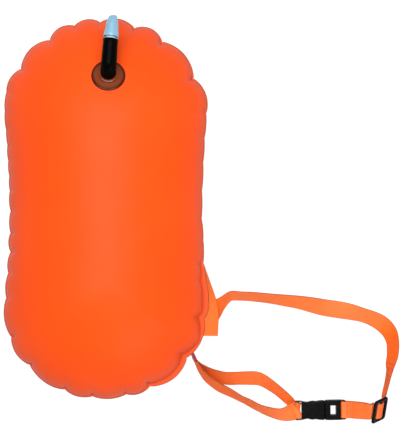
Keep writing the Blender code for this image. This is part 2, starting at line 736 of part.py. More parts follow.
def oral_valve(frame):
    collar_top = SEAT_GAP + BODY_COLLAR_THICKNESS
    sleeve_top = collar_top + BODY_SLEEVE_LENGTH
    web_top = BODY_WEB_THICKNESS - BODY_INSERT_LENGTH
    body = turned("valve_body", [
        (BODY_BORE_RADIUS, sleeve_top), (BODY_INSERT_RADIUS, sleeve_top),
        (BODY_INSERT_RADIUS, collar_top), (BODY_COLLAR_RADIUS, collar_top),
        (BODY_COLLAR_RADIUS, SEAT_GAP), (BODY_INSERT_RADIUS, SEAT_GAP),
        (BODY_INSERT_RADIUS, -BODY_INSERT_LENGTH), (BODY_WEB_BORE_RADIUS, -BODY_INSERT_LENGTH),
        (BODY_WEB_BORE_RADIUS, web_top), (BODY_BORE_RADIUS, web_top),
    ], "grey_plastic", frame, 28)

    base = collar_top + PRESS_TRAVEL + SEAT_GAP
    tip = base + MOUTH_LENGTH
    shoulder = base + MOUTH_SKIRT_DEPTH
    chamfer = MOUTH_TIP_RADIUS - MOUTH_BORE_RADIUS
    skirt_bore = BODY_INSERT_RADIUS + SEAT_GAP
    mouth_side = [(MOUTH_BASE_RADIUS + (MOUTH_TIP_RADIUS - MOUTH_BASE_RADIUS) * narrowing,
                   base + MOUTH_LENGTH * height) for narrowing, height in MOUTH_SIDE_SHARES]
    turned("mouthpiece", [
        (MOUTH_BORE_RADIUS, tip), (MOUTH_TIP_RADIUS - chamfer / 4, tip),
        (MOUTH_TIP_RADIUS, tip - chamfer / 3),
        *mouth_side, (MOUTH_BASE_RADIUS, base),
        (skirt_bore, base), (skirt_bore, shoulder), (MOUTH_BORE_RADIUS, shoulder),
    ], "blue_plastic", frame, 28)

    seal_top = -BODY_INSERT_LENGTH - SEAT_GAP
    turned("valve_seal", [
        (STEM_RADIUS + SEAT_GAP, seal_top), (SEAL_RADIUS, seal_top),
        (SEAL_RADIUS, seal_top - SEAL_THICKNESS),
        (STEM_RADIUS + SEAT_GAP, seal_top - SEAL_THICKNESS),
    ], "seal_rubber", frame, 20)

    head_top = seal_top - SEAL_THICKNESS - SEAT_GAP
    stem_top = shoulder + MOUTH_BORE_RADIUS
    stem = turned("valve_stem", [
        (0, stem_top), (STEM_RADIUS, stem_top), (STEM_RADIUS, head_top),
        (STEM_HEAD_RADIUS, head_top), (STEM_HEAD_RADIUS, head_top - STEM_HEAD_THICKNESS),
        (0, head_top - STEM_HEAD_THICKNESS),
    ], "grey_plastic", frame, 16)
    vane_reach = MOUTH_BORE_RADIUS - SEAT_GAP
    half, root = VANE_THICKNESS / 2, VANE_THICKNESS * 0.8
    cross = [(vane_reach, half), (root, root), (half, vane_reach), (-half, vane_reach),
             (-root, root), (-vane_reach, half), (-vane_reach, -half), (-root, -root),
             (-half, -vane_reach), (half, -vane_reach), (root, -root), (vane_reach, -half)]
    vanes = plate("stem_vanes", cross, VANE_LENGTH, "grey_plastic", frame,
                  place=(0, 0, shoulder + SEAT_GAP + VANE_LENGTH / 2))
    cut(stem, add_cutter(vanes), "UNION")

    low = web_top + SEAT_GAP + SPRING_WIRE_RADIUS
    high = shoulder - SEAT_GAP - SPRING_WIRE_RADIUS
    count = SPRING_TURNS * SPRING_POINTS_PER_TURN
    coil = []
    for index in range(count + 1):
        angle = 2 * math.pi * index / SPRING_POINTS_PER_TURN
        coil.append((SPRING_RADIUS * math.cos(angle), SPRING_RADIUS * math.sin(angle),
                     low + (high - low) * index / count))
    swept("valve_spring", coil, SPRING_WIRE_RADIUS, "spring_steel", frame, 0)
    return body


# Belt anchors


def under_lip():
    """Height of the top face of what is sewn to the underside of the weld lip."""
    return SEAM_HEIGHT - SEAT_GAP / 2 - SHEET_THICKNESS - SEAT_GAP


def strip_edge(share):
    """Where the anchor strip's inner edge lies under the lip, at a share of its length."""
    y = ANCHOR_STRIP_FROM_END - SEAM_HALF_LENGTH + ANCHOR_STRIP_LENGTH * share
    beyond = max(0.0, BOTTOM_CORNER_RADIUS - SEAM_HALF_LENGTH - y)
    turn = BOTTOM_CORNER_RADIUS - math.sqrt(BOTTOM_CORNER_RADIUS**2 - beyond**2)
    x = SEAM_HALF_WIDTH - waist_pinch(y) - turn + WEBBING_THICKNESS * (1 + share)
    return Vector((x, y, under_lip()))


def anchor_strip():
    """Webbing sewn along the lip: its inner edge follows the seam, and it hangs down outwards."""
    stations = []
    for share, hang in ANCHOR_HANG_SHARES:
        across = width_vector(0, -hang)
        drop = WEBBING_THICKNESS / 2 / math.cos(math.radians(min(hang, STEEPEST_DROP_DEG)))
        edge = strip_edge(share) - Vector((0, 0, drop))
        stations.append((edge + across * WEBBING_WIDTH / 2, across))
    return ribbon("anchor_strip", stations, None)


def resting_height(slope_deg):
    """Height of the middle of a piece of webbing whose lower edge lies on the floor."""
    slope = math.radians(slope_deg)
    return (FLOOR_GAP + abs(math.sin(slope)) * WEBBING_WIDTH / 2
            + abs(math.cos(slope)) * WEBBING_THICKNESS / 2)


def lay_point(x_share, y_share, height):
    """A point of the straps' lay, which starts from the tab at the seam's lower right corner."""
    corner = math.radians(TAB_CORNER_DEG)
    reach = BOTTOM_CORNER_RADIUS + TAB_STANDOFF
    tab_x = SEAM_HALF_WIDTH - BOTTOM_CORNER_RADIUS + reach * math.cos(corner)
    tab_y = BOTTOM_CORNER_RADIUS - SEAM_HALF_LENGTH + reach * math.sin(corner)
    tab_x_share, tab_y_share = TAB_PLACE_SHARES
    return Vector((tab_x + (x_share - tab_x_share) * STRAP_LAY_LENGTH,
                   tab_y + (y_share - tab_y_share) * STRAP_LAY_LENGTH, height))


def route(shares, start=None):
    """Stations of a strap from its table. Where a start is given, its first end is moved there."""
    centres = [lay_point(x, y, resting_height(slope) + height * SEAM_HEIGHT)
               for x, y, height, _, slope in shares]
    slip = start - centres[0] if start else Vector((0, 0, 0))
    last = len(shares) - 1
    return [(centre + slip * (1 - index / last), width_vector(direction, slope))
            for index, (centre, (_, _, _, direction, slope)) in enumerate(zip(centres, shares))]


def lower_tab():
    """The folded PVC tab that holds the short strap's two ends under the weld lip."""
    upper, lower = route(SHORT_UPPER_SHARES), route(SHORT_LOWER_SHARES)
    end_centre, strap_width = (upper[0][0] + lower[-1][0]) / 2, upper[0][1]
    back = (upper[0][0] - upper[1][0]).normalized()
    back.z = 0
    half_height = strap_width.z * TAB_WIDTH / 2
    stations = []
    for distance in (2 * SEAT_GAP, TAB_LENGTH / 2, TAB_LENGTH):
        centre = end_centre + back * distance
        centre.z = under_lip() - half_height - SEAT_GAP
        stations.append((centre, strap_width))
    return ribbon("lower_tab", stations, None, 1, TAB_WIDTH, TAB_THICKNESS, "anchor_pvc")


# Buckle: X runs from the socket's closed end to the plug's end, Z is up


def webbing_bar(name, bar_low, open_end, frame, target, solver="EXACT"):
    """Opens the end of a buckle half for the webbing and puts the bar back between its arms."""
    half_length = WEBBING_WIDTH / 2 + SLOT_SIDE_CLEARANCE
    bar_high = bar_low + BAR_WIDTH
    low, high = bar_low - WEBBING_SLOT_WIDTH, bar_high + OVERRUN * 2
    if open_end < 0:
        low, high = bar_low - OVERRUN * 2, bar_high + WEBBING_SLOT_WIDTH
    cut(target, block_cutter(f"{name}_opening", (low, -half_length, -BUCKLE_THICKNESS),
                             (high, half_length, BUCKLE_THICKNESS), frame), solver=solver)
    reach = half_length + BAR_ROOT
    cut(target, block_cutter(f"{name}_bar", (bar_low, -reach, -BAR_THICKNESS / 2),
                             (bar_high, reach, BAR_THICKNESS / 2), frame), "UNION", solver)


def buckle_socket(frame):
    outline = mirrored_outline(SOCKET_OUTLINE_SHARES, SOCKET_LENGTH, BUCKLE_HALF_WIDTH,
                               BUCKLE_EDGE_RADIUS)
    socket = plate("buckle_socket", outline, BUCKLE_THICKNESS, "buckle_plastic", frame,
                   BUCKLE_EDGE_RADIUS)
    half_height = CAVITY_HEIGHT / 2
    mouth_half = BUCKLE_HALF_WIDTH * SOCKET_OUTLINE_SHARES[-1][1] - CAVITY_WALL
    waist_half = SOCKET_WAIST_HALF_WIDTH - CAVITY_WAIST_WALL
    corner = CAVITY_CORNER_RADIUS
    closed = SOCKET_LENGTH - CAVITY_DEPTH
    window_end = WINDOW_START + WINDOW_LENGTH
    open_end = SOCKET_LENGTH + OVERRUN
    half = [(closed, waist_half - CAVITY_END_NARROWING, BUCKLE_EDGE_RADIUS),
            (WINDOW_START, waist_half, corner), (window_end, waist_half, corner),
            (SOCKET_LENGTH, mouth_half, corner), (open_end, mouth_half, 0.0)]
    corners = half + [(x, -y, r) for x, y, r in reversed(half)]
    cavity = plate("socket_cavity", rounded(corners)[::-1], CAVITY_HEIGHT, "buckle_plastic", frame)
    cut(socket, add_cutter(cavity))
    cut(socket, block_cutter("side_windows", (WINDOW_START, -BUCKLE_HALF_WIDTH * 2, -half_height),
                             (window_end, BUCKLE_HALF_WIDTH * 2, half_height), frame))
    webbing_bar("socket", BAR_SETBACK, -1, frame, socket)
    return socket


def buckle_plug(frame):
    start = SOCKET_LENGTH + SEAT_GAP
    outline = mirrored_outline(PLUG_OUTLINE_SHARES, PLUG_LENGTH, BUCKLE_HALF_WIDTH,
                               BUCKLE_EDGE_RADIUS)
    plug = plate("buckle_plug", outline, BUCKLE_THICKNESS, "buckle_plastic", frame,
                 BUCKLE_EDGE_RADIUS, (start, 0, 0))
    tongue_height = CAVITY_HEIGHT - 4 * SEAT_GAP
    tongue_half = [(start - TONGUE_LENGTH, TONGUE_HALF_WIDTH, TONGUE_HALF_WIDTH),
                   (start + OVERRUN, TONGUE_HALF_WIDTH, 0.0)]
    corners = tongue_half + [(x, -y, r) for x, y, r in reversed(tongue_half)]
    tongue = plate("plug_tongue", rounded(corners)[::-1], tongue_height, "buckle_plastic", frame)
    cut(plug, add_cutter(tongue), "UNION", "MANIFOLD")
    window = start + PLUG_WINDOW_START
    cut(plug, block_cutter("plug_window", (window, -PLUG_WINDOW_HALF_LENGTH, -BUCKLE_THICKNESS),
                           (window + PLUG_WINDOW_WIDTH, PLUG_WINDOW_HALF_LENGTH,
                            BUCKLE_THICKNESS), frame), solver="MANIFOLD")
    webbing_bar("plug", start + PLUG_LENGTH - BAR_SETBACK - BAR_WIDTH, 1, frame, plug,
                "MANIFOLD")
    return plug


def prong(name, side, frame):
    """One springy arm of the plug, with its grip head in the socket's side window."""
    window_end = WINDOW_START + WINDOW_LENGTH
    inner = PRONG_ARM_OFFSET - PRONG_ARM_WIDTH / 2
    outer = PRONG_ARM_OFFSET + PRONG_ARM_WIDTH / 2
    back = window_end - PRONG_TIP_GAP
    tip = back - PRONG_HEAD_LENGTH
    grip = SOCKET_WAIST_HALF_WIDTH + PRONG_GRIP_PROUD
    edge = PRONG_ARM_WIDTH / 6
    small = 1.4 * edge
    corners = [
        (SOCKET_LENGTH, inner, small), (SOCKET_LENGTH, outer, small), (back, outer, small),
        (back, grip, small), ((back + tip) / 2, grip + small, PRONG_HEAD_LENGTH),
        (tip + PRONG_ARM_WIDTH, grip - small, PRONG_ARM_WIDTH),
        (tip, grip - PRONG_ARM_WIDTH, PRONG_ARM_WIDTH),
        (tip, grip - PRONG_HEAD_WIDTH, small), (back, grip - PRONG_HEAD_WIDTH, small),
    ]
    points = rounded(corners)
    outline = [(x - SOCKET_LENGTH, (y - PRONG_ARM_OFFSET) * side) for x, y in points]
    if side < 0:
        outline = outline[::-1]
    return plate(name, outline, PRONG_THICKNESS, "buckle_plastic", frame, edge,
                 (SOCKET_LENGTH, PRONG_ARM_OFFSET * side, 0))


def hairpin(centre_x, towards, layer_height):
    """Stations of webbing that passes under a bar, round it and back over it."""
    radius = BAR_THICKNESS / 2 + SEAT_GAP + WEBBING_THICKNESS / 2
    across = Vector((0, 1, 0))
    stations = []
    for degrees in range(-90, 91, 30):
        angle = math.radians(degrees)
        reach = HAIRPIN_SETBACK + radius * math.cos(angle)
        stations.append((Vector((centre_x - towards * reach, 0, radius * math.sin(angle))),
                         across))
    return stations


def to_frame(stations, frame):
    turn = frame.matrix_world.to_3x3()
    return [(frame.matrix_world @ centre, turn @ width) for centre, width in stations]


def from_frame(stations, frame):
    back = frame.matrix_world.inverted()
    turn = back.to_3x3()
    return [(back @ centre, turn @ width) for centre, width in stations]


# Slider: X runs along the webbing, Y along its bars, Z out of its upper face


def slider(frame):
    half_x, half_y = SLIDER_LENGTH / 2, SLIDER_WIDTH / 2
    corners = [(-half_x, -half_y, SLIDER_CORNER_RADIUS), (half_x, -half_y, SLIDER_CORNER_RADIUS),
               (half_x, half_y, SLIDER_CORNER_RADIUS), (-half_x, half_y, SLIDER_CORNER_RADIUS)]
    body = plate("slider", rounded(corners), SLIDER_THICKNESS, "buckle_plastic", frame,
                 SLIDER_THICKNESS / 4)
    reach_y = WEBBING_WIDTH / 2 + SLIDER_SLOT_END_CLEARANCE
    inner, outer = SLIDER_MIDDLE_BAR_WIDTH / 2, half_x - SLIDER_BAR_WIDTH
    for name, low, high in (("left", -outer, -inner), ("right", inner, outer)):
        cut(body, block_cutter(f"slider_slot_{name}", (low, -reach_y, -SLIDER_THICKNESS),
                               (high, reach_y, SLIDER_THICKNESS), frame))
    return body


def slider_matrix():
    place = lay_point(*SLIDER_PLACE_SHARES, SLIDER_REST_HEIGHT)
    bars = width_vector(SLIDER_BARS_DEG, SLIDER_BARS_SLOPE_DEG)
    guess = width_vector(SLIDER_YAW_DEG, -SLIDER_PITCH_DEG)
    along = (guess - bars * guess.dot(bars)).normalized()
    return axes_matrix(along, bars, along.cross(bars), place)


def slider_webbing_stations():
    """Webbing under the first bar, over the middle one and under the last one."""
    across = Vector((0, 1, 0))
    half_x = SLIDER_LENGTH / 2
    clear = SLIDER_THICKNESS / 2 + SEAT_GAP + WEBBING_THICKNESS / 2
    inner, outer = SLIDER_MIDDLE_BAR_WIDTH / 2, half_x - SLIDER_BAR_WIDTH
    middle = (inner + outer) / 2
    half_run = [(outer + SLIDER_BAR_WIDTH / 2, -clear), (outer, -clear),
                (middle + clear / 4, -clear / 2), (middle - clear / 4, clear / 2),
                (inner, clear)]
    run = [(-half_x - SEAT_GAP, -clear)] + [(-x, z) for x, z in half_run] + half_run[::-1]
    return [(Vector((x, 0, z)), across) for x, z in run]


# Assembly

clear_scene()
PARTS = new_collection("swim_buoy")
CUTTERS = new_collection("cutters", hidden=True)

front_panel = panel("front_panel", FRONT_RING_SHARES, 1)
back_panel = panel("back_panel", BACK_RING_SHARES, -1)

bpy.context.view_layer.update()
valve_axes = valve_matrix()
valve_axes.translation += valve_axes.to_3x3().col[2] * seat_lift(front_panel, valve_axes)
valve_frame = add_frame("valve_frame", valve_axes)
bpy.context.view_layer.update()
tube_base = valve_base(valve_frame, front_panel)
tube_points, tube_end, tube_out = tube_axis(valve_frame, tube_base)
inflation_tube(tube_points, tube_end, tube_out)
side_axis = tube_out.cross(Vector((0, 0, 1))).normalized()
mouth_frame = add_frame("mouth_frame", axes_matrix(side_axis, tube_out.cross(side_axis),
                                                   tube_out, tube_end))
bpy.context.view_layer.update()
oral_valve(mouth_frame)

anchor_strip()
lower_tab()

buckle_place = lay_point(*BUCKLE_PLACE_SHARES, BUCKLE_REST_HEIGHT)
buckle_frame = add_frame("buckle_frame", Matrix.Translation(buckle_place)
                         @ Matrix.Rotation(math.radians(BUCKLE_TURN_DEG), 4, "Z"))
slider_frame = add_frame("slider_frame", slider_matrix())
bpy.context.view_layer.update()

buckle_socket(buckle_frame)
buckle_plug(buckle_frame)
prong("left_prong", 1, buckle_frame)
prong("right_prong", -1, buckle_frame)
slider(slider_frame)

# The short strap goes out along its upper run, round the socket's bar and back along its lower run
socket_bar = BAR_SETBACK + BAR_WIDTH / 2
bar_wrap = hairpin(socket_bar, -1, 0)
wrap_radius = BAR_THICKNESS / 2 + SEAT_GAP + WEBBING_THICKNESS / 2
flat_width = Vector((0, 1, 0))
bar_run = (socket_bar - 2 * BAR_WIDTH, socket_bar - BAR_WIDTH)
before_bar = [(Vector((x, 0, -wrap_radius)), flat_width) for x in bar_run]
after_bar = [(Vector((x, 0, wrap_radius)), flat_width) for x in reversed(bar_run)]
ribbon("short_strap", route(SHORT_UPPER_SHARES)
       + to_frame(before_bar + bar_wrap + after_bar, buckle_frame)
       + route(SHORT_LOWER_SHARES), None, 3)

# The plug's webbing is doubled round the plug's bar and reaches the slider
slider_run = slider_webbing_stations()
run_in_buckle = from_frame(to_frame(slider_run, slider_frame), buckle_frame)
first_centre, first_width = run_in_buckle[0]
along = (run_in_buckle[1][0] - run_in_buckle[0][0]).normalized()
normal = along.cross(first_width).normalized()
layer = WEBBING_THICKNESS + 3 * SEAT_GAP
plug_bar = SOCKET_LENGTH + SEAT_GAP + PLUG_LENGTH - BAR_SETBACK - BAR_WIDTH / 2
far_end = first_centre - along * 3 * SEAT_GAP
plug_wrap = hairpin(plug_bar, 1, 0)
leave = plug_bar + BAR_WIDTH


def layer_points(height, offset):
    side = math.copysign(1, height)
    near = Vector((leave + BAR_WIDTH, 0, height))
    end = far_end + normal * offset
    run = end - near
    points = [(Vector((leave, 0, side * wrap_radius)), flat_width)]
    return points + [(near + run * share, flat_width.lerp(first_width, share * share))
                     for share in (0.0, 0.33, 0.66, 1.0)]


lower_layer = layer_points(-layer / 2, -layer)[::-1]
upper_layer = layer_points(layer / 2, 0)
ribbon("plug_webbing", lower_layer + plug_wrap + upper_layer, buckle_frame, 4)
ribbon("slider_webbing", slider_run, slider_frame, 2)

# The belt runs from the anchor strip round the waist loop to the slider's last bar
belt_end = []
for along_share, bars_share, up_share, upright_share in BELT_END_SHARES:
    centre = Vector((along_share * SLIDER_LENGTH, bars_share * SLIDER_WIDTH,
                     up_share * SLIDER_LENGTH))
    belt_end.append((centre, Vector((0, 1 - upright_share, upright_share))))
last_centre = slider_run[-1][0]
for distance in (3 * SEAT_GAP + SLIDER_BAR_WIDTH / 2, 3 * SEAT_GAP):
    belt_end.append((last_centre + Vector((distance, 0, 0)), flat_width))
belt_start = strip_edge(BELT_START_SHARE) + Vector((BELT_START_OUT, 0, -BELT_START_DROP))
ribbon("belt_strap", route(BELT_ROUTE_SHARES, belt_start) + to_frame(belt_end, slider_frame),
       None)
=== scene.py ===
import math
import random

import bmesh
import bpy
import numpy as np
from mathutils import Matrix, Vector
from mathutils.bvhtree import BVHTree


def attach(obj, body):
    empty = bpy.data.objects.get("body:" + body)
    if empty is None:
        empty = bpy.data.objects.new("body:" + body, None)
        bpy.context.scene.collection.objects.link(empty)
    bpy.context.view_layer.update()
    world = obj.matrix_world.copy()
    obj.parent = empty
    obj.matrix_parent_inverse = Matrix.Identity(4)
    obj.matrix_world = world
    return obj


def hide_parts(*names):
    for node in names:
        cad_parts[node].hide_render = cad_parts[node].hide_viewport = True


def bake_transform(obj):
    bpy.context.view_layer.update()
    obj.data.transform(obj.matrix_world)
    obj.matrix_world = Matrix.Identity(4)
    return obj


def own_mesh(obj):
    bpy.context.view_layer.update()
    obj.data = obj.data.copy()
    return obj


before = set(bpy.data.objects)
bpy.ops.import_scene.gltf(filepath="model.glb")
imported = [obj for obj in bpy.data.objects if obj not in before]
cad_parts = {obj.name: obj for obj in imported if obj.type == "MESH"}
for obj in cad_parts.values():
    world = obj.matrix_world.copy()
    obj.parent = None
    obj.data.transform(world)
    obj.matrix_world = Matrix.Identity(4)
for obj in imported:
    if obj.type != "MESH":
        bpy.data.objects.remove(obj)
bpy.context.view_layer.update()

# Sizes in metres, where no comment says otherwise

MM = 0.001
MERGE_DISTANCE = 0.000005
# A corner that turns by less than this many radians isn't rounded
SLIGHT_CORNER = 0.3

# Camera: the focal length is a share of the picture's width
CAMERA_PLACE = (0.1337, -0.0118, 1.68)
FOCAL_SHARE = 1143 / 402
SENSOR_WIDTH = 36.0

# Studio: the floor's half size, and the sky's grey at shares of the way up
FLOOR_SIZE = 40.0
FLOOR_DROP = 0.0002
SKY_GREYS = ((0.0, 0.88), (0.05, 0.88), (0.11, 0.40), (0.30, 0.30), (0.70, 0.03))
# Lights: name, place, the point they face, size, and power in watts
LIGHTS = (
    ("key_light", (0.05, 0.45, 2.40), (0.05, 0, 0.10), (2.2, 1.8), 112),
    ("fill_light", (1.3, -2.1, 1.5), (0.2, -0.2, 0.05), (2.0, 1.0), 32),
    ("spot_light", (-0.04, 0.12, 2.1), (0.0, 0.2, 0.15), (0.10, 0.10), 5),
)

# Float: the seam's plane and the panels' rise over it
SEAM_HEIGHT = 0.08826
PANEL_RISE = 0.0905
FULLNESS = 0.7
SPINE_HALF_LENGTH = 0.100
OUTLINE_STEPS = 840
PANEL_STEPS = 44
# The middle of a panel is closed this share of a step from its centre
FIRST_STEP = 0.35
# Scallops: how full they are, how far in they reach, and how far their mean form is rounded
SCALLOP_POWER = 0.72
SCALLOP_REACH = 0.032
BROAD_BLUR = 24
GROWTH_BLUR = 40
# Weld lip: its wide stretches as x, y and reach, and its rings as inset and share of cut edge
LIP_WIDTH = 0.0016
ANCHOR_LIP_WIDTH = 0.0075
LIP_HALF_THICKNESS = 0.0007
WIDE_LIPS = ((0.134, -0.130, 0.050), (0.100, -0.225, 0.045))
LIP_RINGS = ((0.0012, 0.0), (0.0008, 0.8), (0.0003, 1.0), (0.0, 1.0))
# Painted reflection: its share on the lip, and the panel's outer share where it rises to the weld
LIP_REFLECTION_SHARE = 0.7
REFLECTION_BAND = 0.10
# Creases: reach and width at the notch, how fast they widen inwards, share of their depth,
# the rise over the seam from which they are at full depth, and how far a panel is drawn in and
# sunk at its edge
CREASE_REACH = 0.017
CREASE_WIDTH = 0.0038
CREASE_SPREAD = 0.10
CREASE_SHARE = 0.8
CREASE_START = 0.006
CREASE_PULL = 0.75
CREASE_SINK = 0.35
# The seam's ripple: waves round the bag, and height
RIPPLE_WAVES = range(5, 27)
RIPPLE_HEIGHT = 0.00176

# Notches of the scalloped seam, seen from above in mm, going round from the top over the left:
# x, y, how far the scallop after it stands out from a straight line, and the crease's depth there
NOTCHES = (
    (-6.4, 258.3, 7.0, 3.6), (-42.6, 254.0, 8.4, 3.8), (-76.8, 233.4, 11.0, 4.2),
    (-116.8, 193.6, 6.0, 4.0), (-137.0, 162.0, 1.6, 1.5), (-139.2, 135.1, 1.2, 0.9),
    (-137.4, 108.6, 1.0, 0.9), (-135.6, 87.8, 1.1, 1.0), (-134.4, 65.5, 1.1, 1.1),
    (-133.4, 44.6, 1.2, 1.2), (-132.6, 23.7, 1.8, 1.3), (-131.3, -4.1, 2.3, 1.8),
    (-131.3, -34.8, 3.2, 2.3), (-131.3, -61.2, 3.0, 2.2), (-134.5, -90.5, 2.8, 2.0),
    (-137.3, -125.3, 6.7, 2.4), (-130.2, -179.6, 7.6, 4.2), (-104.7, -218.6, 8.8, 4.4),
    (-55.7, -252.0, 5.6, 4.0), (-17.2, -261.7, 5.4, 4.2), (29.7, -259.0, 5.6, 4.0),
    (62.7, -247.8, 12.2, 3.4), (113.8, -208.4, 9.6, 4.2), (137.2, -153.6, 2.6, 2.8),
    (143.6, -135.0, 2.0, 0.0), (140.4, -100.0, 1.0, 0.4), (137.0, -77.4, 1.0, 2.0),
    (137.0, -45.0, 1.0, 1.0), (134.6, -14.7, 1.0, 0.9), (135.0, 23.7, 1.1, 0.9),
    (136.8, 64.1, 1.0, 0.9), (138.6, 97.5, 1.4, 1.0), (141.0, 132.3, 8.9, 2.4),
    (123.3, 180.2, 12.4, 4.6), (79.8, 231.0, 10.0, 4.6), (41.2, 250.1, 9.4, 4.4),
)

# Valve: the flange's place and its axis, and the tube's end and its axis
VALVE_PLACE = Vector((0.010901, 0.175795, 0.164932))
VALVE_AXIS = Vector((0.077254, 0.376878, 0.923036))
MOUTH_PLACE = Vector((0.0152, 0.2207, 0.1803))
MOUTH_AXIS = Vector((0.0865, 0.9908, -0.1045))
# The flange's section as radius and height over the skin, and where its dark rim starts
FLANGE_PROFILE = (
    (0.0078, -0.0002), (0.0078, 0.0012), (0.0085, 0.0014), (0.0150, 0.0013), (0.0190, 0.0012),
    (0.0198, 0.0013), (0.0203, 0.0019), (0.0212, 0.0021), (0.0221, 0.0018), (0.0226, 0.0010),
    (0.0227, 0.0002), (0.0225, -0.0002), (0.0190, -0.0002), (0.0120, -0.0002),
)
RIM_RADIUS = 0.0186
RIM_FADE = 0.0022
COLLAR_RADIUS = 0.0128
COLLAR_TOP = 0.0041
TUBE_RADIUS = 0.0097
TUBE_BORE_RADIUS = 0.0068
TUBE_RISE = 0.0060
TUBE_BEND_RADIUS = 0.0140
TUBE_TAPER = 0.0008
TUBE_FOOT_RADII = (0.0088, 0.0094)
TUBE_FOOT_SWELL = 0.0005
TUBE_FOOT_LENGTH = 0.003
TUBE_LIP_SWELL = 0.00045
TUBE_LIP_LENGTH = 0.0016
# The mouthpiece's outside as share of its length and radius, from the bite end to its skirt
MOUTH_BASE = 0.0034
MOUTH_LENGTH = 0.0282
MOUTH_PROFILE = (
    (0.985, 0.0052), (0.94, 0.0056), (0.86, 0.0064), (0.76, 0.0073), (0.66, 0.0079),
    (0.56, 0.0082), (0.46, 0.0084), (0.36, 0.0087), (0.26, 0.0092), (0.17, 0.0097),
    (0.09, 0.0100), (0.02, 0.0101), (0.0, 0.0098),
)
COIL_ENDS = (-0.0083, 0.0106)
COIL_TURNS = 7
COIL_RADIUS = 0.0036
WIRE_RADIUS = 0.0004

# Webbing
WEBBING_WIDTH = 0.025
WEBBING_THICKNESS = 0.0014
FLAT_SHARE = 0.97
FLOOR_GAP = 0.0006
SEAT_GAP = 0.0003
RIB_PITCH = 0.0021
YARNS = 21
FLAT_WIDTH = Vector((0, 1, 0))
# Stitches: share of the width that they cover, the thread, its swell along a stitch, and the
# rings of the doubled webbing's smooth run that they are sewn on
STITCHED_SHARE = 0.86
THREAD_RADIUS = 0.00028
STITCH_PROFILE = ((-1.0, 0.3), (-0.7, 0.9), (0.0, 1.0), (0.7, 0.9), (1.0, 0.3))
BAR_TACK_RINGS = (117, 119)
# The short strap below the socket's bar: how far it is pushed aside, and its share of the width
GATHER_OFFSET = 0.0050
GATHER_SHARE = 0.55

# Buckle and slider
BUCKLE_PLACE = Vector((0.2714, -0.2956, 0.0068))
BUCKLE_TURN = math.radians(1)
SOCKET_LENGTH = 0.0430
PLUG_LENGTH = 0.0307
BAR_WIDTH = 0.0034
BAR_THICKNESS = 0.0032
BAR_SETBACK = 0.0010
HAIRPIN_SETBACK = 0.0014
PLUG_END = SOCKET_LENGTH + SEAT_GAP + PLUG_LENGTH
WRAP_RADIUS = BAR_THICKNESS / 2 + SEAT_GAP + WEBBING_THICKNESS / 2
PLUG_LIP_SETBACK = 0.0084
PLUG_LIP_WIDTH = 0.0024
SLIDER_PLACE = Vector((0.3934, -0.2933, 0.0184))
# Direction and slope in degrees of the slider's bars, and of the way across them
SLIDER_BARS = (85, 22)
SLIDER_LEAN = (19, -38)
SLIDER_LENGTH = 0.0290
SLIDER_WIDTH = 0.0372
SLIDER_THICKNESS = 0.0032
SLIDER_BAR_WIDTH = 0.0046
SLIDER_MIDDLE_BAR_WIDTH = 0.0036
SLIDER_HEAVY_BAR = 0.0064
SLIDER_END_WIDTH = 0.0052
SLIDER_CORNER_RADIUS = 0.0042
SLIDER_SLOT_RADIUS = 0.0012

# Straps: x and y as shares of the lay, lift as a share of the seam's height, the direction and
# slope of the width in degrees and, where a strap is gathered, the share of its width left
STRAP_LAY = 0.100
BELT_ROUTE = (
    (1.425, -1.585, 0.877, 141, 12), (1.515, -1.475, 0.715, 141, 25),
    (1.610, -1.365, 0.585, 138, 43), (1.692, -1.290, 0.555, 126, 54),
    (1.767, -1.245, 0.545, 105, 54), (1.889, -1.248, 0.515, 90, 57),
    (2.033, -1.256, 0.474, 88, 57), (2.208, -1.276, 0.407, 86, 56),
    (2.398, -1.301, 0.338, 84.5, 53), (2.591, -1.331, 0.264, 83, 46),
    (2.774, -1.361, 0.197, 82, 39), (2.950, -1.401, 0.147, 80, 27),
    (3.145, -1.447, 0.107, 77, 12), (3.340, -1.479, 0.077, 75, 6),
    (3.517, -1.512, 0.037, 73, 18), (3.693, -1.558, 0.0, 72, 32),
    (3.860, -1.617, 0.0, 62, 28), (3.994, -1.696, 0.0, 52, 22),
    (4.093, -1.808, 0.0, 35, 33), (4.136, -1.952, 0.0, 15, 51),
    (4.133, -2.140, 0.0, 5, 59), (4.101, -2.270, 0.0, -4, 68),
    (4.087, -2.365, 0.0, -8, 79), (4.071, -2.440, 0.0, -10, 83),
    (4.056, -2.510, 0.0, -11, 85), (4.038, -2.605, 0.0, -11, 84, 0.84),
    (4.018, -2.705, 0.0, -11, 80, 0.64), (4.004, -2.785, 0.0, -11, 80, 0.54),
    (3.990, -2.852, 0.0, 150, 70, 0.44), (3.972, -2.904, 0.02, 118, 46, 0.46),
)
# The belt's end under the slider: place in mm in the slider's frame, share of the width
BELT_END = (3.6, 0.0, -4.4, 0.90)
